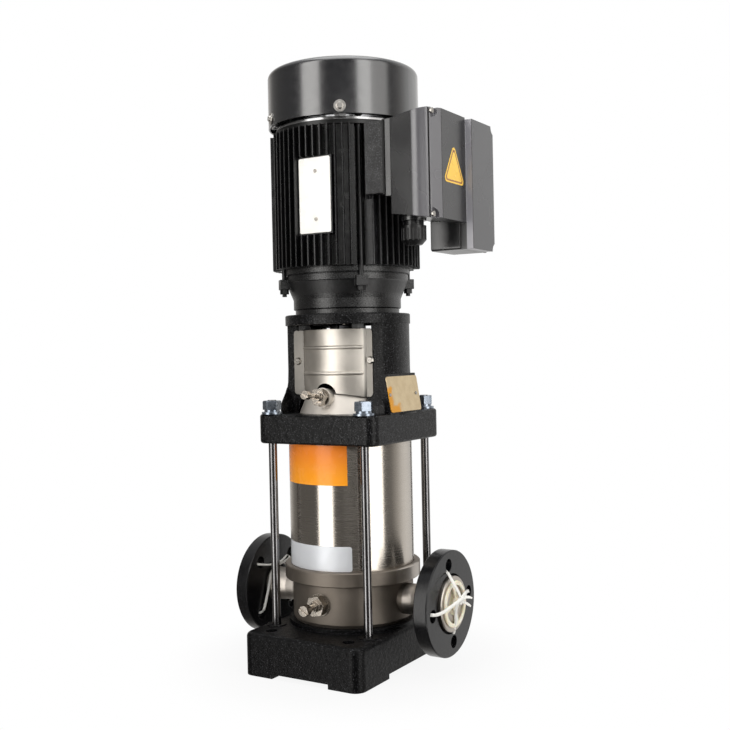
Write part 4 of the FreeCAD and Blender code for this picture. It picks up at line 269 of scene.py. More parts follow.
def box_plastic():
    """satin grey moulding; bevels, round corner, capacitor bulge and step face painted paler as painted highlights,
    the way they catch soft light
    """
    k = Mat("box_grey_plastic", color=srgb(25, 25, 27), Specular_IOR_Level=0.9, Coat_Weight=0.15, Coat_Roughness=0.28)
    x, y, z = k.xyz()
    lid = k.remap(x, 0.1372, 0.1376)
    bulge = k.math("MULTIPLY", lid, k.remap(y, 0.0158, 0.0164))
    step = k.math("MULTIPLY", k.math("MULTIPLY", k.remap(x, 0.1449, 0.1453), k.remap(y, 0.0145, 0.0149)),
                  k.remap(x, 0.1517, 0.1522, 1.0, 0.0))
    bevel_highlight = k.math("MULTIPLY", k.math("MULTIPLY", lid, k.remap(y, -0.0401, -0.0396, 1.0, 0.0)),
                   k.remap(x, 0.1446, 0.1450, 1.0, 0.0))
    corner_highlight = k.math("MULTIPLY", k.math("MULTIPLY", k.remap(x, 0.1195, 0.1225), k.remap(y, -0.0556, -0.0552, 1.0, 0.0)),
                    k.remap(x, 0.1368, 0.1372, 1.0, 0.0))
    n1 = k.noise(900.0, 2.0, 0.5)
    n3 = k.noise(18.0, 2.0, 0.5)
    tone = k.mix(k.remap(n3, 0.3, 0.7), srgb(20, 20, 22), srgb(25, 25, 27))
    # painted highlights: the capacitor bulge, then the bevel and round corner, then the step face are painted paler
    tone = k.mix(bulge, tone, srgb(62, 62, 65))
    tone = k.mix(k.math("MAXIMUM", bevel_highlight, corner_highlight), tone, srgb(88, 87, 91))
    tone = k.mix(step, tone, srgb(150, 149, 155))
    k.color(tone)
    k.roughness(k.remap(n3, 0.3, 0.7, 0.22, 0.30))
    k.bump((n1, 0.00003), edge=0.0014)
    return k.m


M["box"] = box_plastic()
M["black_plastic"] = plastic("gland_black_plastic", (17, 17, 18), rough=(0.26, 0.4))
M["blackened"] = black_paint("blackened_screw", base=(12, 12, 13), rough=(0.3, 0.42))
M["rubber"] = plastic("rubber_black", (24, 24, 24), rough=(0.6, 0.75), relief=0.00005)


def cream_cap():
    """moulded cream cap: lighter rim and web, the pockets greyed by painted shade"""
    k = Mat("cap_cream_plastic", color=srgb(236, 228, 204), Subsurface_Weight=0.2, Subsurface_Scale=0.003)
    x = k.math("ABSOLUTE", k.xyz()[0])
    pocket_shade = k.remap(x, 0.1276, 0.1302, 1.0, 0.0)
    n = k.noise(60.0, 2.0, 0.5)
    tone = k.mix(k.remap(n, 0.3, 0.7), srgb(228, 219, 192), srgb(244, 238, 220))
    # painted shade: the pockets between the webs are painted greyer
    k.color(k.mix(pocket_shade, tone, srgb(186, 176, 148)))
    k.roughness(k.remap(k.noise(18.0, 2.0, 0.5), 0.3, 0.7, 0.32, 0.44))
    k.bump((k.noise(1100.0, 2.0, 0.5), 0.00002), edge=0.0005)
    return k.m


M["cream"] = cream_cap()
M["tie"] = plastic("tie_white_nylon", (240, 239, 234), rough=(0.3, 0.4), spread=8, relief=0.00002)


def casing_steel():
    """satin pressed sheet; the welded port stubs are drawn tube, smoother, and their brighter tint is partly the
    tube's finish and partly a painted highlight
    """
    k = Mat("casing_satin_steel", metal=1.0, color=srgb(130, 121, 111))
    x = k.math("ABSOLUTE", k.xyz()[0])
    stub = k.remap(x, 0.0715, 0.0745, 0.0, 1.0)
    n1 = k.noise(1300.0, 3.0, 0.6)
    n3 = k.noise(30.0, 3.0, 0.55)
    sheet = k.mix(k.remap(n3, 0.25, 0.75), srgb(126, 118, 109), srgb(140, 132, 123))
    tube_tint_and_highlight = k.mix(k.remap(n3, 0.25, 0.75), srgb(178, 171, 163), srgb(198, 191, 183))
    # the stubs' paler colour is partly the drawn tube and partly a painted highlight
    k.color(k.mix(stub, sheet, tube_tint_and_highlight))
    body = k.remap(k.math("ADD", k.math("MULTIPLY", n1, 0.55), k.math("MULTIPLY", n3, 0.45)), 0.3, 0.7, 0.52, 0.62)
    k.roughness(k.math("SUBTRACT", body, k.math("MULTIPLY", stub, 0.18)))
    k.bump((n1, 0.00003), edge=0.0004)
    return k.m


M["casing"] = casing_steel()
M["pressed"] = steel("pressed_satin_steel", (150, 142, 133), rough=(0.4, 0.5), grain=1300.0, relief=0.00002)
M["dome"] = steel("dome_satin_steel", (236, 230, 222), rough=(0.5, 0.6), grain=1300.0, relief=0.00002)


def sleeve_steel():
    """sheet turned and brushed round its axis: reflections spread upward, faint level streaks"""
    k = Mat("sleeve_turned_steel", metal=1.0, color=srgb(196, 189, 180), Anisotropic=0.94, Anisotropic_Rotation=0.25)
    fine = k.noise(1.0, 3.0, 0.6, vec=k.scaled(26.0, 26.0, 2400.0))
    streak = k.noise(1.0, 2.0, 0.6, vec=k.scaled(16.0, 16.0, 760.0))
    patch = k.noise(14.0, 3.0, 0.55)
    tone = k.mix(k.remap(patch, 0.25, 0.75), srgb(188, 181, 172), srgb(196, 189, 180))
    k.color(k.mix(k.math("MULTIPLY", k.remap(streak, 0.35, 0.7), 0.2), tone, srgb(176, 169, 160)))
    k.roughness(k.remap(k.math("ADD", k.math("MULTIPLY", streak, 0.7), k.math("MULTIPLY", patch, 0.3)),
                        0.3, 0.7, 0.22, 0.29))
    k.bump((streak, 0.0000012), (fine, 0.000006), edge=0.0002)
    return k.m


M["sleeve"] = sleeve_steel()


def guard_sheet():
    """satin sheet; the flat flanges and the +Y side are painted darker than the drawn middle as painted shade"""
    k = Mat("guard_sheet_steel", metal=1.0, color=srgb(200, 193, 184))
    yy = k.xyz()[1]
    y = k.math("ABSOLUTE", yy)
    flat = k.remap(y, 0.0322, 0.0345, 1.0, 0.0)
    shaded_side = k.remap(yy, -0.020, 0.030)
    n1 = k.noise(700.0, 3.0, 0.6)
    n3 = k.noise(34.0, 3.0, 0.55)
    body = k.mix(k.remap(n3, 0.25, 0.75), srgb(206, 200, 191), srgb(232, 226, 217))
    # painted shade: the sheet darkens toward +Y
    body = k.mix(shaded_side, body, srgb(150, 145, 138))
    flange_shade = k.mix(k.remap(n3, 0.25, 0.75), srgb(132, 129, 124), srgb(152, 148, 142))
    # painted shade: the flat flanges are painted darker
    k.color(k.mix(flat, body, flange_shade))
    k.roughness(k.remap(k.math("ADD", k.math("MULTIPLY", n1, 0.4), k.math("MULTIPLY", n3, 0.6)), 0.3, 0.7, 0.40, 0.52))
    k.bump((n1, 0.000012), edge=0.0004)
    return k.m


M["guard"] = guard_sheet()
M["plug"] = steel("plug_turned_steel", (200, 192, 182), rough=(0.16, 0.26), grain=1400.0, relief=0.000006)
M["rod"] = steel("rod_bright_steel", (124, 123, 124), rough=(0.16, 0.24), grain=900.0, relief=0.0000004,
                 cloud=40.0)
M["zinc"] = steel("zinc_plate", (168, 177, 189), rough=(0.24, 0.36), grain=900.0, relief=0.00001,
                  cloud=160.0, spread=34)
M["screw"] = steel("screw_steel", (176, 172, 166), rough=(0.2, 0.3), grain=1200.0, relief=0.00001, cloud=90.0)
M["pan"] = steel("pan_screw_steel", (212, 209, 204), rough=(0.30, 0.38), grain=1200.0, relief=0.00001, cloud=90.0)
M["washer"] = steel("pressed_washer_steel", (150, 143, 134), rough=(0.2, 0.32), grain=1100.0, relief=0.00001)
M["bearing"] = steel("bearing_bright_steel", (205, 205, 208), rough=(0.08, 0.14), cloud=60.0)
M["core"] = steel("laminated_core_steel", (120, 120, 124), rough=(0.35, 0.5), grain=1.0, relief=0.00002,
                  stretch=(8.0, 8.0, 2000.0))
M["copper"] = steel("winding_copper", (196, 110, 66), rough=(0.25, 0.4), grain=420.0, relief=0.0002, cloud=60.0)
M["iron"] = steel("coupling_iron", (108, 108, 110), rough=(0.35, 0.5), grain=900.0, relief=0.00004, cloud=60.0)
M["ceramic"] = plastic("seal_ceramic", (214, 210, 200), rough=(0.2, 0.3))
M["can"] = steel("capacitor_can", (190, 192, 196), rough=(0.2, 0.3), cloud=30.0)
M["block"] = plastic("terminal_block_plastic", (186, 180, 160), rough=(0.4, 0.5))
M["fan"] = plastic("fan_black_plastic", (34, 34, 35), rough=(0.4, 0.5))


def gold_plate():
    """thin brass plate, etched grain in the middle, an amber painted reflection on the left and at the foot"""
    k = Mat("gold_name_plate", metal=0.7, color=srgb(200, 178, 134))
    x, y, z = k.xyz()
    fine = k.noise(1500.0, 3.0, 0.6)
    cloud = k.noise(120.0, 3.0, 0.6)
    warp = k.noise(160.0, 2.0, 0.5)
    body = k.mix(k.remap(cloud, 0.30, 0.75), srgb(206, 185, 148), srgb(218, 199, 163))
    slow = k.noise(70.0, 2.0, 0.5)
    edge_y = k.math("ADD", y, k.math("ADD", k.math("MULTIPLY", warp, 0.006), k.math("MULTIPLY", slow, 0.010)))
    edge_z = k.math("ADD", z, k.math("ADD", k.math("MULTIPLY", warp, 0.004), k.math("MULTIPLY", slow, 0.008)))
    side = k.remap(edge_y, -0.0235, -0.0185, 1.0, 0.0)
    high = k.remap(edge_z, 0.3140, 0.3180, 1.0, 0.0)
    foot = k.math("MULTIPLY", k.remap(edge_y, -0.0110, -0.0040, 1.0, 0.0), k.remap(edge_z, 0.2950, 0.2995, 1.0, 0.0))
    amber = k.math("MAXIMUM", k.math("MULTIPLY", side, high), foot)
    # painted reflection: the amber patch on the left side and at the foot
    k.color(k.mix(amber, body, srgb(226, 158, 48)))
    k.roughness(k.remap(fine, 0.3, 0.7, 0.3, 0.48))
    k.bump((cloud, 0.00001), (fine, 0.00002), edge=0.0003)
    return k.m


def white_plate():
    k = Mat("white_name_plate", color=srgb(250, 248, 240), rough=0.3)
    n = k.noise(40.0, 2.0, 0.5)
    k.color(k.mix(k.remap(n, 0.3, 0.7), srgb(252, 250, 243), srgb(255, 254, 250)))
    k.roughness(k.remap(k.noise(90.0, 2.0, 0.5), 0.3, 0.7, 0.24, 0.36))
    k.bump((k.noise(700.0, 2.0, 0.5), 0.000004), edge=0.0003)
    return k.m


def sticker(name, lo, hi, rough=(0.2, 0.3), metal=0.0, axis=2, a=0.0, b=1.0, **sock):
    """glossy film, its tone drifting from lo to hi along an axis"""
    k = Mat(name, color=srgb(*hi), metal=metal, **sock)
    along = k.remap(k.xyz()[axis], a, b)
    base = k.mix(along, srgb(*lo), srgb(*hi))
    n = k.noise(60.0, 2.0, 0.5)
    k.color(k.mix(k.math("MULTIPLY", n, 0.06), base, srgb(255, 244, 220)))
    k.roughness(k.remap(n, 0.3, 0.7, rough[0], rough[1]))
    k.bump((k.noise(110.0, 1.0, 0.4), 0.00001), (k.noise(900.0, 2.0, 0.5), 0.000002))
    return k.m


def fan_shield():
    """black enamel, with the machined seat under the fan cover left bare"""
    k = Mat("fan_shield_enamel", color=srgb(8, 8, 9), Specular_IOR_Level=0.4)
    x, y, z = k.xyz()
    bare = k.remap(z, 0.5976, 0.5980, smooth=False)
    turned = k.noise(1.0, 3.0, 0.6, vec=k.scaled(40.0, 40.0, 2600.0))
    n2 = k.noise(130.0, 2.0, 0.5)
    metal = k.mix(k.remap(turned, 0.3, 0.7), srgb(150, 150, 152), srgb(186, 186, 186))
    k.color(k.mix(bare, srgb(8, 8, 9), metal))
    k.link(bare, k.b.inputs["Metallic"])
    k.roughness(k.math("SUBTRACT", k.remap(n2, 0.3, 0.7, 0.28, 0.38), k.math("MULTIPLY", bare, 0.14)))
    k.bump((n2, 0.00006), edge=0.0005)
    return k.m


M["fan_shield"] = fan_shield()
M["gold"] = gold_plate()
M["white"] = white_plate()
# the orange film is painted darker toward its top as painted shade
M["orange"] = sticker("orange_film", (252, 158, 4), (236, 124, 4), a=0.205, b=0.249, Specular_IOR_Level=0.3)
M["silver"] = sticker("silver_film", (214, 217, 222), (220, 223, 228), rough=(0.36, 0.48), metal=0.25,
                      a=0.112, b=0.14)
M["yellow"] = sticker("yellow_film", (245, 196, 62), (250, 204, 70), a=0.52, b=0.565)
M["amber"] = sticker("amber_line", (150, 96, 34), (140, 88, 30), a=0.52, b=0.565)

FINISH = {
    "base_plate": "cast", "motor_stool": "stool", "pump_casing": "casing", "outer_sleeve": "sleeve",
    "sleeve_o_rings": "rubber", "pump_head_cover": "dome", "tie_rods": "rod", "tie_rod_washers": "zinc",
    "tie_rod_nuts": "zinc", "stage_bowls": "pressed", "impellers": "plug", "shaft_spacers": "plug",
    "pump_shaft": "plug", "shaft_bearing_bush": "ceramic", "seal_seat": "ceramic",
    "seal_rotating_head": "plug", "coupling_halves": "iron", "coupling_screws": "screw",
    "coupling_guard_front": "guard", "coupling_guard_rear": "guard", "guard_screws": "screw",
    "pump_nameplate": "gold", "motor_nameplate": "white", "plate_rivets": "screw",
    "drive_end_shield": "shield", "motor_flange_screws": "blackened", "motor_frame": "frame",
    "fan_end_shield": "fan_shield", "motor_through_bolts": "blackened", "stator_core": "core",
    "stator_windings": "copper", "rotor_core": "core", "motor_shaft": "plug",
    "bearing_outer_rings": "bearing", "bearing_inner_rings": "bearing", "bearing_ball_sets": "bearing",
    "cooling_fan": "fan", "fan_cover": "cover", "fan_cover_screws": "pan",
    "terminal_box_base": "box", "terminal_box_lid": "box", "terminal_lid_screws": "screw",
    "terminal_box_gasket": "rubber", "terminal_block": "block", "capacitor": "can",
    "cable_gland_body": "black_plastic", "cable_gland_nut": "black_plastic", "plug_gaskets": "washer",
    "drain_plug": "plug", "vent_plug": "plug", "drain_needle": "plug", "drain_needle_ring": "rubber",
    "vent_needle": "plug", "vent_needle_ring": "rubber", "flange_outlet": "flange",
    "port_cap_outlet": "cream", "cap_ties_outlet": "tie", "flange_inlet": "flange",
    "port_cap_inlet": "cream", "cap_ties_inlet": "tie",
}
for name, o in nodes.items():
    o.data.materials.clear()
    o.data.materials.append(M[FINISH[name]])


# ----------------------------------------------------------------------
# mesh helpers
# ----------------------------------------------------------------------
def mesh_object(name, verts, faces, mat, body, mats=None, face_mats=None, smooth=True):
    me = bpy.data.meshes.new(name)
    me.from_pydata([tuple(v) for v in verts], [], faces)
    me.update()
    for m in (mats or [mat]):
        me.materials.append(m)
    if face_mats:
        for p, i in zip(me.polygons, face_mats):
            p.material_index = i
    bm = bmesh.new()
    bm.from_mesh(me)
    bmesh.ops.recalc_face_normals(bm, faces=bm.faces)
    bm.to_mesh(me)
    bm.free()
    for p in me.polygons:
        p.use_smooth = smooth
    o = bpy.data.objects.new(name, me)
    scene.collection.objects.link(o)
    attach(o, body)
    return o


def sleeve_film(name, a0, a1, z0, z1, corner, mat, radius=0.0701, thick=0.00022, wave=0.0):
    """a label wrapped on the sleeve, with rounded corners and a real thickness"""
    rows = []
    n_mid = 14
    steps = [corner * (1 - math.cos(math.pi / 2 * i / 6)) for i in range(7)] if corner > 0 else [0.0]
    zs = [z0 + s for s in steps] + [z0 + corner + (z1 - z0 - 2 * corner) * i / n_mid for i in range(1, n_mid)] \
        + [z1 - s for s in reversed(steps)]
    for z in zs:
        d = max(0.0, corner - min(z - z0, z1 - z))
        inset = corner - math.sqrt(max(0.0, corner * corner - d * d)) if corner > 0 else 0.0
        rows.append((z, inset))
    n_a = 64
    verts, faces = [], []
    for r in (radius, radius + thick):
        for z, inset in rows:
            b0, b1 = a0 + inset / radius, a1 - inset / radius
            for i in range(n_a + 1):
                a = b0 + (b1 - b0) * i / n_a
                bulge = wave * math.sin(a * 9.0 + z * 60.0) * math.sin((z - z0) / (z1 - z0) * math.pi)
                rr = r + (abs(bulge) if r > radius else 0.0)
                verts.append((rr * math.cos(a), rr * math.sin(a), z))
    w = n_a + 1
    nr = len(rows)
    for layer in (0, 1):
        off = layer * nr * w
        for j in range(nr - 1):
            for i in range(n_a):
                faces.append((off + j * w + i, off + j * w + i + 1, off + (j + 1) * w + i + 1, off + (j + 1) * w + i))
    loop = [i for i in range(w)] + [j * w + n_a for j in range(1, nr)] \
        + [(nr - 1) * w + i for i in range(n_a - 1, -1, -1)] + [j * w for j in range(nr - 2, 0, -1)]
    up = nr * w
    for i in range(len(loop)):
        a_, b_ = loop[i], loop[(i + 1) % len(loop)]
        faces.append((a_, b_, b_ + up, a_ + up))
    o = mesh_object(name, verts, faces, mat, "pump_set")
    mod = o.modifiers.new("edge", "EDGE_SPLIT")
    mod.split_angle = math.radians(40)
    return o


def rounded_triangle(pts, r, n=10):
    """corner-rounded outline of a triangle in 2-D, counter-clockwise"""
    out = []
    for i in range(3):
        p, a, b = Vector(pts[i]), Vector(pts[i - 1]), Vector(pts[(i + 1) % 3])
        u, v = (a - p).normalized(), (b - p).normalized()
        half = u.angle(v) / 2
        bis = (u + v).normalized()
        c = p + bis * (r / math.sin(half))
        s, e = c - (c - (p + u * (r / math.tan(half)))), p + v * (r / math.tan(half))
        d0, d1 = (s - c), (e - c)
        ang0 = math.atan2(d0.y, d0.x)
        ang1 = math.atan2(d1.y, d1.x)
        while ang1 < ang0:
            ang1 += 2 * math.pi
        if ang1 - ang0 > math.pi:
            ang1 -= 2 * math.pi
        for k in range(n + 1):
            t = ang0 + (ang1 - ang0) * k / n
            out.append((c.x + r * math.cos(t), c.y + r * math.sin(t)))
    return out


def shrink(pts, d):
    """the triangle moved inward by d"""
    out = []
    for i in range(3):
        p, a, b = Vector(pts[i]), Vector(pts[i - 1]), Vector(pts[(i + 1) % 3])
        u, v = (a - p).normalized(), (b - p).normalized()
        half = u.angle(v) / 2
        out.append(tuple(p + (u + v).normalized() * (d / math.sin(half))))
    return out


# ----------------------------------------------------------------------
# films on the sleeve and on the lid
# ----------------------------------------------------------------------
sleeve_film("film_orange", math.radians(-138), math.radians(-60.7), 0.2055, 0.2489, 0.0008,
            M["orange"], wave=0.00006)
sleeve_film("film_silver", math.radians(-139), math.radians(-58), 0.1124, 0.1396, 0.0028,
            M["silver"], wave=0.00004)

TRI = [(-0.0375, 0.5245), (0.0115, 0.5245), (-0.0130, 0.5665)]
LID_X = 0.14505
rings = [rounded_triangle(TRI, 0.0042), rounded_triangle(shrink(TRI, 0.0016), 0.0031),
         rounded_triangle(shrink(TRI, 0.0034), 0.0021)]
n = len(rings[0])
verts, faces, fm = [], [], []
for j, ring in enumerate(rings):
    verts += [(LID_X + 0.00022, y, z) for y, z in ring]
verts += [(LID_X - 0.0001, y, z) for y, z in rings[0]]
for i in range(n):
    k = (i + 1) % n
    faces.append((i, k, n + k, n + i)); fm.append(0)
    faces.append((n + i, n + k, 2 * n + k, 2 * n + i)); fm.append(1)
    faces.append((3 * n + i, 3 * n + k, k, i)); fm.append(0)
faces.append(tuple(range(2 * n, 3 * n))); fm.append(0)
faces.append(tuple(range(3 * n, 4 * n))); fm.append(0)
mesh_object("film_yellow", verts, faces, None, "pump_set",
            mats=[M["yellow"], M["amber"]], face_mats=fm, smooth=False)


# ----------------------------------------------------------------------
# nylon ties that hold the transport caps: two loops through opposite bolt
# holes, crossed over the cap, each with its lock head and cut tail
# ----------------------------------------------------------------------
def through(points, per=7, closed=False):
    """smooth path through the points, given in millimetres"""
    p = [Vector(q) / 1000.0 for q in points]
    m = len(p)
    out = []
    for i in range(m if closed else m - 1):
        if closed:
            a_, b_, c_, d_ = p[i - 1], p[i], p[(i + 1) % m], p[(i + 2) % m]
        else:
            a_, b_, c_, d_ = p[max(i - 1, 0)], p[i], p[i + 1], p[min(i + 2, m - 1)]
        for j in range(per):
            t = j / per
            out.append(0.5 * (2 * b_ + (c_ - a_) * t + (2 * a_ - 5 * b_ + 4 * c_ - d_) * t * t
                              + (3 * b_ - a_ - 3 * c_ + d_) * t ** 3))
    if not closed:
        out.append(p[-1])
    return out


def band(verts, faces, path, centre, width, thick, closed=False, tail=0.0):
    """flat strap with rounded edges; its flat side looks away from the centre; tail narrows an end"""
    base = len(verts)
    m = len(path)
    ct = Vector(centre) / 1000.0
    ref = None
    for i, q in enumerate(path):
        if closed:
            t = (path[(i + 1) % m] - path[i - 1]).normalized()
        else:
            t = (path[min(i + 1, m - 1)] - path[max(i - 1, 0)]).normalized()
        out_ = q - ct
        out_ = (out_ - t * out_.dot(t)).normalized()
        across = t.cross(out_).normalized()
        if ref is not None and across.dot(ref) < 0:
            across = -across
        ref = across
        w = width / 2
        if tail and not closed:
            w *= 1.0 - tail * max(0.0, (i / (m - 1) - 0.6) / 0.4)
        h = thick / 2
        c = min(h, w) * 0.6
        for u_, v_ in ((w, -h + c), (w, h - c), (w - c, h), (-w + c, h), (-w, h - c), (-w, -h + c), (-w + c, -h),
                       (w - c, -h)):
            verts.append(q + across * u_ + out_ * v_)
    for i in range(m if closed else m - 1):
        j = (i + 1) % m
        for k_ in range(8):
            l_ = (k_ + 1) % 8
            faces.append((base + i * 8 + k_, base + i * 8 + l_, base + j * 8 + l_, base + j * 8 + k_))
    if not closed:
        faces.append(tuple(base + k_ for k_ in range(8)))
        faces.append(tuple(base + (m - 1) * 8 + k_ for k_ in range(8)))


def lock_head(verts, faces, at, along, out_, size=(5.4, 4.8, 3.8)):
    """small moulded block with rounded corners and a shallow waist"""
    base = len(verts)
    at = Vector(at) / 1000.0
    t = Vector(along).normalized()
    n_ = Vector(out_)
    n_ = (n_ - t * n_.dot(t)).normalized()
    b_ = t.cross(n_)
    la, lb, lc = (v_ / 2000.0 for v_ in size)
    rows = [(-1.0, 0.72), (-0.86, 0.92), (-0.5, 1.0), (0.0, 0.95), (0.5, 1.0), (0.86, 0.92), (1.0, 0.72)]
    m = 20
    for h, k_ in rows:
        for i in range(m):
            ang = 2 * math.pi * i / m
            ca, sa = math.cos(ang), math.sin(ang)
            e = 0.45
            u_ = math.copysign(abs(ca) ** e, ca) * la * k_
            v_ = math.copysign(abs(sa) ** e, sa) * lb * k_
            verts.append(at + t * u_ + b_ * v_ + n_ * (h * lc))
    for r_ in range(len(rows) - 1):
        for i in range(m):
            j = (i + 1) % m
            faces.append((base + r_ * m + i, base + r_ * m + j, base + (r_ + 1) * m + j, base + (r_ + 1) * m + i))
    faces.append(tuple(base + i for i in range(m)))
    faces.append(tuple(base + (len(rows) - 1) * m + i for i in range(m)))


def cap_ties(name, loops, tails, heads, centre, body, node, width):
    verts, faces = [], []
    for pts in loops:
        band(verts, faces, through(pts, closed=True), centre, width, 0.0013, closed=True)
    for pts in tails:
        band(verts, faces, through(pts), centre, width * 0.85, 0.0012, tail=0.45)
    for at, along, out_ in heads:
        lock_head(verts, faces, at, along, out_)
    o = mesh_object(name, verts, faces, M["tie"], body)
    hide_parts(node)
    return o


OUT_UP = [(108.0, 5.6, 37.8), (113.0, 7.0, 37.6), (119.0, 8.0, 38.4), (124.8, 4.6, 41.5), (128.4, -0.4, 49.5),
          (131.6, -3.2, 56.6), (135.0, -9.6, 67.0), (138.0, -13.2, 76.0), (140.2, -11.4, 82.4), (140.4, -9.0, 86.0),
          (138.6, -10.2, 91.9), (134.8, -13.4, 101.0), (129.6, -11.6, 107.6), (125.6, -9.4, 110.6),
          (120.0, -5.8, 111.9), (113.0, -4.8, 112.2), (108.0, -4.2, 112.0), (105.6, 0.0, 107.0), (105.2, 14.0, 99.0),
          (105.2, 26.0, 88.0), (105.2, 29.0, 77.0), (105.2, 26.0, 62.0), (105.4, 16.0, 46.0), (105.8, 8.6, 39.0)]
OUT_ACROSS = [(108.0, -44.4, 72.0), (114.0, -46.0, 72.6), (120.0, -46.9, 73.0), (125.8, -46.4, 73.3),
              (128.8, -41.4, 72.7), (132.6, -32.7, 74.1), (137.6, -21.9, 79.0), (142.0, -14.6, 83.2),
              (143.8, -8.0, 85.4), (141.2, 2.0, 85.8), (136.2, 13.0, 85.4), (130.6, 28.0, 83.2), (127.2, 38.0, 81.0),
              (123.6, 43.4, 80.0), (118.0, 43.8, 79.6), (112.0, 42.8, 79.4), (107.6, 40.0, 80.0),
              (105.6, 33.0, 86.0), (105.2, 20.0, 97.0), (105.2, 4.0, 103.0), (105.2, -14.0, 101.0),
              (105.2, -30.0, 90.0), (105.8, -40.6, 76.6)]
cap_ties("cap_ties_outlet_nylon", [OUT_UP, OUT_ACROSS],
         [[(143.2, -9.6, 84.6), (146.0, -6.6, 85.6), (149.0, -4.2, 85.4), (151.2, -2.2, 84.2)],
          [(141.6, -9.0, 81.6), (144.6, -5.2, 79.2), (147.4, -2.2, 76.6), (148.6, -0.8, 74.8)],
          [(142.4, -9.0, 85.6), (144.0, -5.6, 89.0), (144.6, -4.2, 91.4)]],
         [((142.8, -8.8, 84.9), (0.55, 0.8, 0.1), (1.0, 0.1, 0.1)), ((140.9, -9.4, 80.6), (0.2, 0.25, 0.95), (1.0, 0.0, 0.0))],
         (117.0, 0.0, 75.0), "outlet_flange", "cap_ties_outlet", 0.0036)

IN_A = [(-126.0, -29.5, 102.5), (-129.5, -23.0, 96.0), (-133.0, -12.0, 86.0), (-134.6, 0.0, 75.4),
        (-133.0, 12.0, 63.6), (-129.5, 23.0, 54.0), (-126.0, 28.6, 48.4), (-118.0, 29.4, 47.8), (-109.6, 28.8, 47.4),
        (-106.2, 25.8, 51.4), (-105.6, 26.0, 64.0), (-105.6, 23.0, 82.0), (-105.8, 13.0, 95.4), (-106.0, 1.0, 99.6),
        (-106.2, -12.9, 99.2), (-106.3, -24.0, 100.8), (-108.0, -33.0, 102.6), (-113.0, -36.4, 103.6),
        (-120.0, -34.6, 103.8)]
IN_B = [(-125.6, -31.0, 46.5), (-129.0, -24.0, 54.0), (-131.6, -14.0, 62.0), (-132.6, 0.0, 75.0),
        (-131.8, 12.0, 87.0), (-129.2, 22.0, 97.0), (-126.0, 27.6, 101.6), (-120.0, 28.4, 102.4),
        (-110.2, 27.8, 102.0), (-106.4, 22.0, 99.6), (-105.4, 10.0, 98.0), (-104.9, 1.0, 97.2),
        (-104.8, -11.0, 93.4), (-104.9, -16.8, 86.6), (-105.2, -22.8, 68.3), (-105.8, -29.6, 50.4),
        (-107.4, -33.6, 46.8), (-111.0, -34.8, 45.8), (-119.0, -34.0, 45.6)]
cap_ties("cap_ties_inlet_nylon", [IN_A, IN_B],
         [[(-106.2, 4.0, 98.6), (-104.6, 10.0, 102.4), (-103.6, 15.0, 106.0)],
          [(-134.4, 4.0, 71.0), (-135.0, 9.0, 70.4), (-134.8, 14.0, 71.4)]],
         [((-106.0, 1.6, 99.4), (0.0, 0.98, -0.1), (0.3, 0.0, 1.0)), ((-133.4, 3.4, 72.2), (0.0, 0.7, -0.7), (-1.0, 0.0, 0.0))],
         (-117.0, 0.0, 75.0), "inlet_flange", "cap_ties_inlet", 0.0030)


# ----------------------------------------------------------------------
# floor, light and camera
# ----------------------------------------------------------------------
def floor_material():
    """pale studio floor; straight on it is as bright as the room, with a soft shade close to the base"""
    k = Mat("pale_floor", color=(0.6, 0.6, 0.6, 1.0), rough=0.7)
    n = k.noise(6.0, 2.0, 0.5)
    k.color(k.mix(n, (0.58, 0.58, 0.58, 1.0), (0.62, 0.62, 0.62, 1.0)))
    x, y, z = k.xyz()
    rr = k.math("SQRT", k.math("ADD", k.math("MULTIPLY", x, x), k.math("MULTIPLY", y, y)))
    lit = k.node("ShaderNodeEmission")
    lit.inputs["Color"].default_value = (1.0, 1.0, 1.0, 1.0)
    lit.inputs["Strength"].default_value = 1.0
    path_ = k.node("ShaderNodeLightPath")
    both = k.node("ShaderNodeMixShader")
    k.link(k.math("MULTIPLY", path_.outputs["Is Camera Ray"], k.remap(rr, 0.125, 0.235, 0.90, 1.0)), both.inputs[0])
    k.link(k.b.outputs[0], both.inputs[1])
    k.link(lit.outputs[0], both.inputs[2])
    k.link(both.outputs[0], k.out.inputs[0])
    return k.m


me = bpy.data.meshes.new("floor")
N_F, R_F = 96, 6.0
me.from_pydata([(R_F * math.cos(2 * math.pi * i / N_F), R_F * math.sin(2 * math.pi * i / N_F), -0.0002)
                for i in range(N_F)], [], [tuple(range(N_F))])
me.update()
floor = bpy.data.objects.new("floor", me)
scene.collection.objects.link(floor)
me.materials.append(floor_material())
floor.visible_glossy = False

PHI, YAW, PITCH, ROLL = 32.5, -0.9, -0.8, -1.2
eye = Vector((0.6358, -0.9980, 0.3506))
a, pt, r = math.radians(PHI + YAW), math.radians(PITCH), math.radians(ROLL)
fwd = Vector((-math.sin(a) * math.cos(pt), math.cos(a) * math.cos(pt), math.sin(pt)))
right = fwd.cross(Vector((0, 0, 1))).normalized()
up = right.cross(fwd)
R = right * math.cos(r) + up * math.sin(r)
U = -right * math.sin(r) + up * math.cos(r)
cam = bpy.data.objects.new("camera", bpy.data.cameras.new("camera"))
scene.collection.objects.link(cam)
cam.matrix_world = Matrix(((R.x, U.x, -fwd.x, eye.x), (R.y, U.y, -fwd.y, eye.y),
                           (R.z, U.z, -fwd.z, eye.z), (0, 0, 0, 1)))
cam.data.sensor_width = 36.0
cam.data.sensor_fit = "HORIZONTAL"
cam.data.lens = 1037.1 / 730.0 * 36.0
cam.data.clip_start, cam.data.clip_end = 0.05, 60.0
scene.camera = cam

# directions seen from the object: beta is the angle to the right of the camera
toward = Vector((eye.x, eye.y, 0)).normalized()
side = Vector((-toward.y, toward.x, 0))
BASE_AZ = math.atan2(toward.y, toward.x)


def around(beta, dist, z):
    b = math.radians(beta)
    d = toward * math.cos(b) + side * math.sin(b)
    return Vector((d.x * dist, d.y * dist, z))


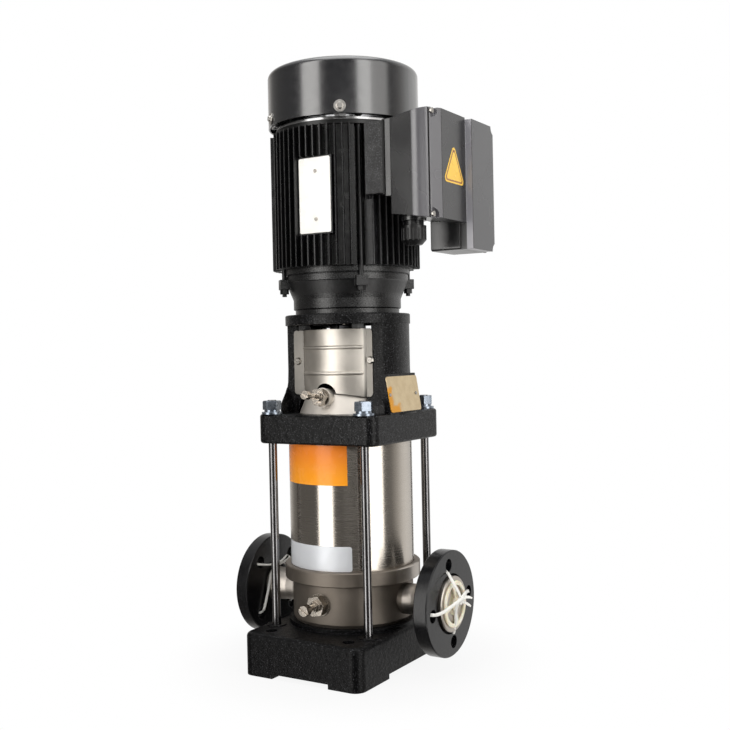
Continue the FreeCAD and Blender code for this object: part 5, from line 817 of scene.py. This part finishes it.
def soft_light(name, beta, dist, z, w, h, radiance, colour=(1, 1, 1), aim=0.33, spread=180.0):
    li = bpy.data.lights.new(name, "AREA")
    li.shape = "RECTANGLE"
    li.size, li.size_y = w, h
    li.energy = radiance * w * h * math.pi
    li.color = colour
    li.spread = math.radians(spread)
    o = bpy.data.objects.new(name, li)
    scene.collection.objects.link(o)
    o.location = around(beta, dist, z)
    d = Vector((0, 0, aim)) - o.location
    d.z *= 0.0 if aim is None else 1.0
    o.rotation_mode = "QUATERNION"
    o.rotation_quaternion = d.to_track_quat("-Z", "Y")
    o.visible_camera = False
    return o


soft_light("strip_left", -48.6, 1.7, 0.45, 0.86, 3.0, 3.4, (1.0, 0.985, 0.96), aim=0.45)
soft_light("strip_right_low", 46.0, 1.7, -0.15, 0.82, 1.7, 3.4, (1.0, 0.985, 0.96), aim=-0.15)
soft_light("strip_right_high", 31.0, 1.7, 1.25, 0.62, 1.1, 3.6, (1.0, 0.99, 0.97), aim=1.25)
soft_light("strip_right_side", 55.0, 1.7, 1.25, 0.84, 1.1, 1.5, (1.0, 0.985, 0.96), aim=1.25)
soft_light("front_band", 1.0, 1.7, 0.74, 0.9, 0.26, 1.8, (1.0, 0.99, 0.97), aim=0.74)
soft_light("top_soft", 10.0, 0.3, 2.1, 1.6, 1.6, 2.0, (1.0, 1.0, 1.0), aim=0.3)

world = bpy.data.worlds.new("studio")
scene.world = world
world.use_nodes = True
wt = world.node_tree
wt.nodes.clear()


def wn(kind, **props):
    n_ = wt.nodes.new(kind)
    for k_, v_ in props.items():
        setattr(n_, k_, v_)
    return n_


tc = wn("ShaderNodeTexCoord")
sep = wn("ShaderNodeSeparateXYZ")
wt.links.new(tc.outputs["Generated"], sep.inputs[0])
az = wn("ShaderNodeMath", operation="ARCTAN2")
wt.links.new(sep.outputs[1], az.inputs[0])
wt.links.new(sep.outputs[0], az.inputs[1])
rel = wn("ShaderNodeMath", operation="SUBTRACT")
wt.links.new(az.outputs[0], rel.inputs[0])
rel.inputs[1].default_value = BASE_AZ
turn = wn("ShaderNodeMath", operation="DIVIDE")
wt.links.new(rel.outputs[0], turn.inputs[0])
turn.inputs[1].default_value = 2 * math.pi
shift = wn("ShaderNodeMath", operation="ADD")
wt.links.new(turn.outputs[0], shift.inputs[0])
shift.inputs[1].default_value = 0.5 + 1.0
wrap = wn("ShaderNodeMath", operation="FRACT")
wt.links.new(shift.outputs[0], wrap.inputs[0])
ramp = wn("ShaderNodeValToRGB")
wt.links.new(wrap.outputs[0], ramp.inputs[0])
# brightness of the room round the object: 0.5 is the camera's side
STOPS = [(-180, 0.80), (-150, 0.50), (-134, 0.22), (-112, 0.16), (-78, 0.15), (-66, 0.12), (-30, 0.13), (0, 0.08),
         (30, 0.10), (62, 0.18), (80, 0.22), (95, 0.50), (113, 0.92), (126, 0.95), (145, 0.75), (180, 0.80)]
cr = ramp.color_ramp
while len(cr.elements) > 1:
    cr.elements.remove(cr.elements[-1])
for i_, (beta, v_) in enumerate(STOPS):
    pos = beta / 360.0 + 0.5
    e_ = cr.elements[0] if i_ == 0 else cr.elements.new(pos)
    e_.position = pos
    warm = (1.0, 0.965, 0.92) if v_ < 0.7 else (1.0, 0.99, 0.975)
    e_.color = (v_ * warm[0], v_ * warm[1], v_ * warm[2], 1.0)
# overhead the room is brighter
lift = wn("ShaderNodeMapRange", interpolation_type="SMOOTHSTEP")
wt.links.new(sep.outputs[2], lift.inputs["Value"])
lift.inputs["From Min"].default_value = 0.45
lift.inputs["From Max"].default_value = 0.95
mixs = wn("ShaderNodeMix", data_type="RGBA")
wt.links.new(lift.outputs[0], mixs.inputs["Factor"])
cin = [s for s in mixs.inputs if s.type == "RGBA"]
wt.links.new(ramp.outputs[0], cin[0])
cin[1].default_value = (0.75, 0.75, 0.75, 1.0)
room = wn("ShaderNodeBackground")
wt.links.new([s for s in mixs.outputs if s.type == "RGBA"][0], room.inputs[0])
room.inputs[1].default_value = 1.0
plain = wn("ShaderNodeBackground")
plain.inputs[0].default_value = (1.0, 1.0, 1.0, 1.0)
plain.inputs[1].default_value = 1.0
path = wn("ShaderNodeLightPath")
pick = wn("ShaderNodeMixShader")
wt.links.new(path.outputs["Is Camera Ray"], pick.inputs[0])
wt.links.new(room.outputs[0], pick.inputs[1])
wt.links.new(plain.outputs[0], pick.inputs[2])
wout = wn("ShaderNodeOutputWorld")
wt.links.new(pick.outputs[0], wout.inputs[0])

scene.view_settings.view_transform = "Standard"
scene.view_settings.look = "None"
scene.view_settings.exposure = 0.0
scene.view_settings.gamma = 1.0
